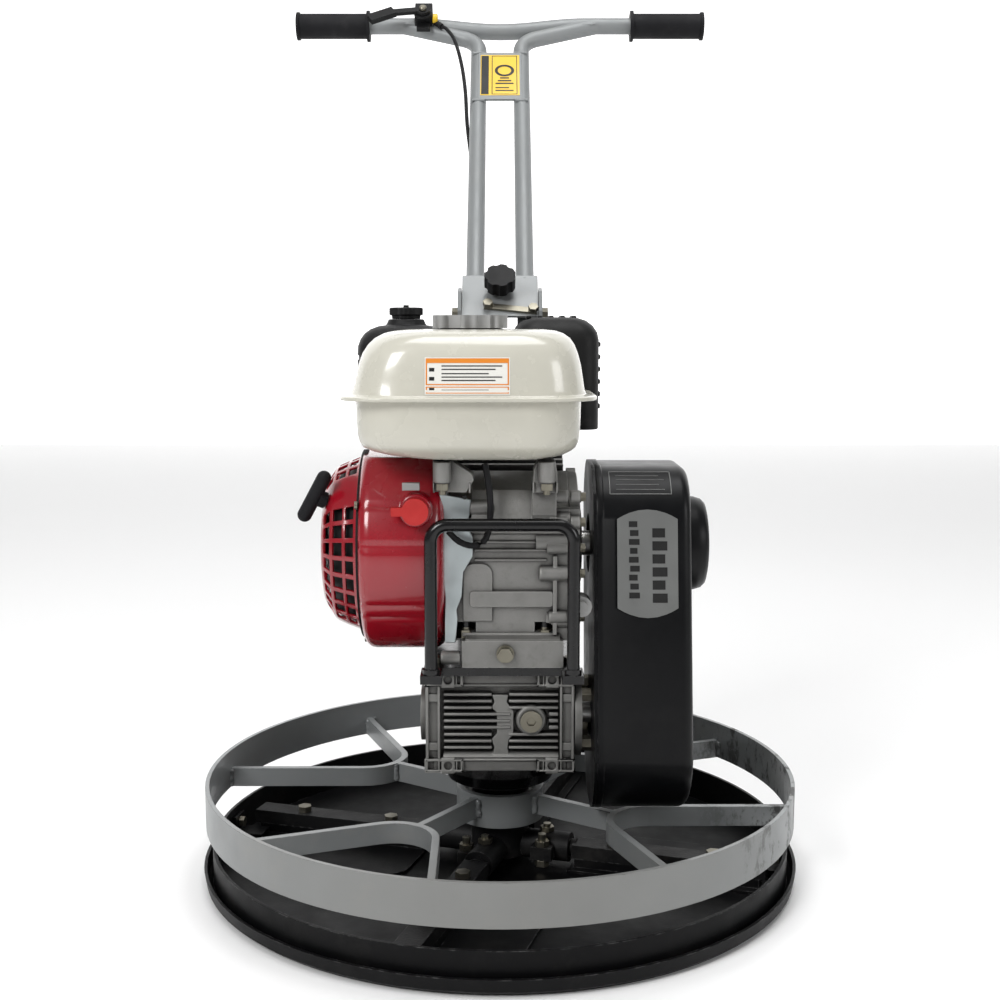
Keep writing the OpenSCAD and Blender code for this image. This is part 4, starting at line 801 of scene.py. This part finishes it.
# ---- engine front ----
def engine_front():
    """Relief on the crankcase's front: swell, ribs, bosses, panels and foot, and the tin plate beside it."""
    front = -101
    bits = Shape()

    def bar(profile, x0, x1):
        """Extrudes a (y, z) outline along X."""
        bits.rings([[(x, y, z) for y, z in profile] for x in (x0, x1)])

    # swell above the cage bar, and steps with ribs below it
    swell = [
        (-96, 402), (-99, 397), (-102.5, 389), (-105, 380), (-105.6, 374), (-104, 367), (-100, 363),
        (-94, 363), (-94, 402),
    ]
    bar(swell, -27, 32)
    for z, out in ((353, 3.4), (345.4, 4.2), (336, 3.2)):
        step = [
            (front + 2, z - 1.8), (front - out + 1, z - 1.4), (front - out, z),
            (front - out + 1, z + 1.2), (front + 2, z + 1.6),
        ]
        bar(step, -24, 44)
    # arm under the right tank bolt
    bar([(-96, 415), (-106, 412), (-109, 405), (-109, 380), (-106, 376), (-96, 376)], 30, 53)
    # lying bosses, from (start, end, height, radius); those on the right have a bolt
    bolts = Shape()
    bosses = (
        (-28, -7.5, 386, 7.2), (52, 64, 396, 6.2), (44, 64, 347.5, 6), (37, 64, 323, 7.6),
        (46, 64, 281, 6.4), (46, 64, 372, 6.6),
    )
    for x0, x1, z, r in bosses:
        bits.tube([(x, front - 1, z) for x in (x0, x0 + 1, x1 - 1, x1)], [r - 1, r, r, r - 1], 28)
        if x0 > 0:
            bits.tube([(x, front - 1, z) for x in (66.3, 74.6, 75.4)], [r, r, r - 1], 28)
            bolts.tube([(x, front - 1, z) for x in (75.4, 76.2)], r - 0.6, 24)
            bolts.tube([(x, front - 1, z) for x in (76, 80.4)], 4.7, 6)
    # raised panels: an arch on the left and a long plate across
    turns = (0.3, 0.7, 1.1, 1.5)
    arch = [(-35, 277), (-35.4, 318)]
    arch += [(-26 - 9.4 * math.cos(t), 322 + 10.5 * math.sin(t)) for t in turns]
    arch += [(-17 + 10 * math.cos(t), 322 + 10.5 * math.sin(t)) for t in reversed(turns)]
    arch += [(-7, 318), (-7.2, 307), (-7.2, 277)]
    bits.rings([[(x, y, z) for x, z in arch] for y in (front + 2, front - 2.6)])
    plate = rounded(-28.6, 50, 291, 306.4, 3, 0)
    bits.rings([[(x, y, z) for x, z, _ in plate] for y in (front + 2, front - 5)])
    bits.block((50, front - 5, 264), (54, front + 2, 340))
    bits.block((-36, front - 2, 262), (54, front + 2, 266))
    # foot: slanted top edge, waist in the lower edge, a lying boss on the left
    bar([(-94, 268), (-99, 267), (-105, 262.6), (-111, 260.8), (-111, 258), (-94, 258)], -33, 57)
    bits.tube([(-56, -108, 243), (-54.6, -108, 243), (-38, -108, 243)], [5.4, 6.6, 6.6], 28)
    piece("case_front", bits, "cast_aluminium", "chassis", smooth=35, bevel=0.8)
    piece("case_bolts", bolts, "bolt_zinc", "chassis", bevel=0.5)
    studs = Shape()
    for x in (-32.75, 42.75):
        studs.tube([(x, -96, 268), (x, -96, 276), (x, -96, 276.6)], [4, 4, 3.2], 16)
    piece("case_studs", studs, "frame_black", "chassis")
    # air deflector between the fan and the crankcase
    sheet = [
        (-57, 400), (-27, 394), (-28.6, 380), (-31, 371), (-25.6, 358), (-25.6, 340), (-34.6, 325),
        (-36, 302), (-41, 289), (-40, 280), (-42, 257), (-52, 257), (-52, 300), (-57, 372),
    ]
    tin = Shape().rings([[(x, y, z) for x, z in sheet] for y in (-107.4, -105.4)])
    tin.block((-51.6, -107, 257), (-49.6, -62, 400))
    piece("tin_plate", tin, "tin_grey", "chassis", bevel=0.9)
    # painted shade: a black disc on the tin plate stands for the shadow inside its hole
    dark = Shape().tube([(-33, -108, 396), (-33, -107, 396)], 2, 16)
    piece("tin_hole_shade", dark, "frame_black", "chassis")


# ---- gearbox ----
def gearbox():
    """Worm gearbox: corner feet, double ribs round the front, fins with a middle island."""
    half, front, back, mid = 72, -102, 72, 177
    body = Shape()

    def side_block(s, x0, x1, y0, y1, z0, z1):
        """A block from x0 to x1 on the left, where s is -1, or on the right, where it is 1."""
        a, b = sorted((s * x0, s * x1))
        body.block((a, y0, z0), (b, y1, z1))

    body.block((-half + 7, front + 10, mid - 43), (half - 7, back - 6, mid + 43))
    band = (
        (front + 12, 34), (front + 2, 35.6), (front + 1, 37.4), (front + 3, 38.6),
        (front + 4, 48.6), (front + 12, 49),
    )
    # top and bottom bands between the feet, slanted towards the front
    for s in (-1, 1):
        body.rings([[(x, y, mid + s * z) for y, z in band] for x in (-half + 8, half - 8)])
        body.block((-half + 6, back - 20, mid + s * 44 - 5), (half - 6, back - 2, mid + s * 44 + 5))
        # two upright ribs at each side of the front, blocks between them, and ribs at the back
        for x0, x1 in ((half - 14.5, half - 12), (half - 3.5, half - 0.6)):
            side_block(s, x0, x1, front + 0.6, front + 16, mid - 37, mid + 37)
        side_block(s, half - 13, half - 2, front + 5, front + 16, mid - 36, mid + 36)
        for z in (-24, 24):
            side_block(s, half - 13, half - 2, front + 2.6, front + 8, mid + z - 4, mid + z + 4)
        side_block(s, half - 8, half - 0.6, back - 16, back - 1, mid - 42, mid + 42)
        # fins on both ends
        for k in range(-3, 4):
            z = mid + 11 * k
            side_block(s, half - 8, half - 1.5, front + 16, back - 15, z - 1.6, z + 1.6)
    # fins on the front: short, long and short again, with the island in the middle
    for row, z in enumerate((27.5, 21, 14.5, 8, 1.5, -5, -12, -18.5, -25)):
        cut = row in (0, 1, 2, 6, 7, 8)
        spans = ((-54, -8), (8.6, 56)) if cut else ((-54, 10),)
        for a, b in spans:
            rings = []
            for y, h in ((front + 12, 2.3), (front + 2.4, 1.3)):
                upper, lower = mid + z + h, mid + z - h
                rings.append([(a, y, upper), (b, y, upper), (b, y, lower), (a, y, lower)])
            body.rings(rings)
        if not cut:
            body.block((47, front + 3, mid + z - 1.8), (56, front + 12, mid + z + 1.8))
    island = (
        (-7, -33), (9, -33), (7.4, -26), (8.6, -17), (13, -13), (13, 11), (9, 16), (6.6, 20), (8, 27),
        (-7.6, 27), (-5.4, 20), (-8, 14), (-3, 9), (-3, -11), (-8, -17), (-5.6, -25),
    )
    body.rings([[(x, y, mid + z) for x, z in island] for y in (front + 12, front + 4)])
    # boss of the oil plug
    rings = []
    for y, r in ((front + 12, 16), (front + 3, 14.5), (front + 1.4, 13)):
        rings.append([(x, y, z) for x, z, _ in circle(30, mid + 2, r, 0, 48)])
    body.rings(rings)
    # slanted edge over the lower band
    slant = ((front + 12, -28), (front + 8, -28.6), (front + 2.4, -33.6), (front + 2, -35), (front + 12, -35))
    body.rings([[(x, y, mid + z) for y, z in slant] for x in (-55, 57)])
    # corner feet: a drilled pad, and a frame round two slots beside it
    inner, edge, hole_r = 35.5, 2.2, 4.1
    for sx in (-1, 1):
        for sz in (-1, 1):
            cx, cz = sx * 50, mid + sz * 42.5
            wall = []
            hole = []
            for k in range(48):
                turn = math.radians(7.5 * k)
                c, q = math.cos(turn), math.sin(turn)
                grow = 1 / max(abs(c) / 6.6, abs(q) / 8)
                wall.append((cx + c * grow, cz + q * grow))
                hole.append((cx + hole_r * c, cz + hole_r * q))
            levels = ((wall, front + 14), (wall, front + 0.4), (hole, front), (hole, front + 13))
            body.rings([[(x, y, z) for x, z in ring] for ring, y in levels], caps=(False, True))
            z0, z1 = (cz - 6.2, cz + 6.4) if sz < 0 else (cz - 6.4, cz + 6.2)
            side_block(sx, inner, half, front + 5, front + 20, z0, z1)
            side_block(sx, inner, half, front + 0.3, front + 8, z1 - edge, z1)
            side_block(sx, inner, half, front + 0.3, front + 8, z0, z0 + edge)
            for a, b in ((inner, inner + 2.6), (half - 2.6, half), (41, 42.6), (58, 59.6)):
                side_block(sx, a, b, front + 0.3, front + 8, z0, z1)
            # foot at the back
            z0, z1 = (cz - 1.6, cz + 8) if sz < 0 else (cz - 8, cz + 1.6)
            side_block(sx, inner, half, back - 30, back, z0, z1)
    piece("gearbox_casting", body, "cast_aluminium", "chassis", smooth=35, bevel=0.7,
          stands_for=("gearbox_housing",))


# ---- welds of the guard ----
def welds():
    """Lumpy beads where the guard's spokes meet its ring, their forks and its hub."""
    chance = random.Random(7)
    heights = [61 + 18 * k / 10 for k in range(11)]
    beads = Shape()
    for quarter in range(4):
        base = math.radians(55.5 + 90 * quarter)

        def put(r, across, z):
            x = r * math.cos(base) - across * math.sin(base)
            y = r * math.sin(base) + across * math.cos(base)
            return (x, y, z)

        for s in (-1, 1):
            tip = math.radians(23)
            r, a = 296 * math.cos(tip), 296 * math.sin(tip)
            for side in (-1, 1):
                path = [put(r - 1.5, s * a + side * 4.2, z) for z in heights]
                beads.tube(path, 3.2, 8, 0.35, chance)
        for side in (-1, 1):
            beads.tube([put(135, side * 4.5, z) for z in heights], 3.4, 8, 0.35, chance)
            beads.tube([put(46, side * 4.5, z) for z in heights], 3.2, 8, 0.35, chance)
    piece("guard_welds", beads, "ring_paint", "guard", smooth=80)


tank()
air_cleaner()
silencer()
tank_brackets()
recoil()
scroll()
belt_guard()
stickers()
handle()
engine_front()
gearbox()
welds()


# ---- camera, light and floor ----
def camera():
    """The camera fitted to the photo, in front of the machine and tilted down."""
    tilt_down = 7.3
    data = bpy.data.cameras.new("camera")
    made = bpy.data.objects.new("camera", data)
    bpy.context.scene.collection.objects.link(made)
    data.sensor_width = 36
    data.lens = 49.5
    made.location = (0, -1.383, 0.557)
    made.rotation_euler = (math.radians(90 - tilt_down), 0, 0)
    bpy.context.scene.camera = made


def area_light(name, at, look, size, power):
    """A square lamp at one point, turned towards another."""
    data = bpy.data.lights.new(name, "AREA")
    data.shape = "RECTANGLE"
    data.size = size
    data.size_y = size
    data.energy = power
    made = bpy.data.objects.new(name, data)
    made.location = at
    made.rotation_euler = (Vector(look) - Vector(at)).to_track_quat("-Z", "Y").to_euler()
    bpy.context.scene.collection.objects.link(made)


def floor():
    mesh = bpy.data.meshes.new("floor")
    half = 9
    corners = [(-half, -half, 0), (half, -half, 0), (half, half, 0), (-half, half, 0)]
    mesh.from_pydata(corners, [], [(0, 1, 2, 3)])
    made = bpy.data.objects.new("floor", mesh)
    bpy.context.scene.collection.objects.link(made)
    m = Maker("floor", (0.93, 0.93, 0.93), 0.6)
    m.blend(m.noise(3), (0.90, 0.90, 0.90), 0.3)
    mesh.materials.append(m.done())


def world():
    """A weak, even white light from all sides."""
    made = bpy.data.worlds.new("world")
    bpy.context.scene.world = made
    made.use_nodes = True
    background = made.node_tree.nodes["Background"]
    background.inputs["Color"].default_value = (1, 1, 1, 1)
    background.inputs["Strength"].default_value = 0.23


def backdrop():
    """A bright sheet far behind, which gives the pale background and a soft rim of light."""
    half, behind, height = 9, 5, 7
    mesh = bpy.data.meshes.new("backdrop")
    corners = [(-half, behind, 0), (half, behind, 0), (half, behind, height), (-half, behind, height)]
    mesh.from_pydata(corners, [], [(0, 1, 2, 3)])
    made = bpy.data.objects.new("backdrop", mesh)
    bpy.context.scene.collection.objects.link(made)
    m = Maker("backdrop", (0.9, 0.9, 0.9), 0.8)
    m.shader.inputs["Emission Color"].default_value = (1, 1, 1, 1)
    m.shader.inputs["Emission Strength"].default_value = 1.0
    mesh.materials.append(m.done())


camera()
area_light("key", (-1.9, -2.3, 2.3), (0, 0, 0.35), 1.3, 72)
area_light("fill", (2.6, -1.5, 1.3), (0, 0, 0.4), 1.1, 20)
area_light("top", (0.2, -0.2, 3.0), (0, 0, 0.3), 1.8, 48)
floor()
backdrop()
world()
bpy.context.scene.view_settings.view_transform = "Standard"
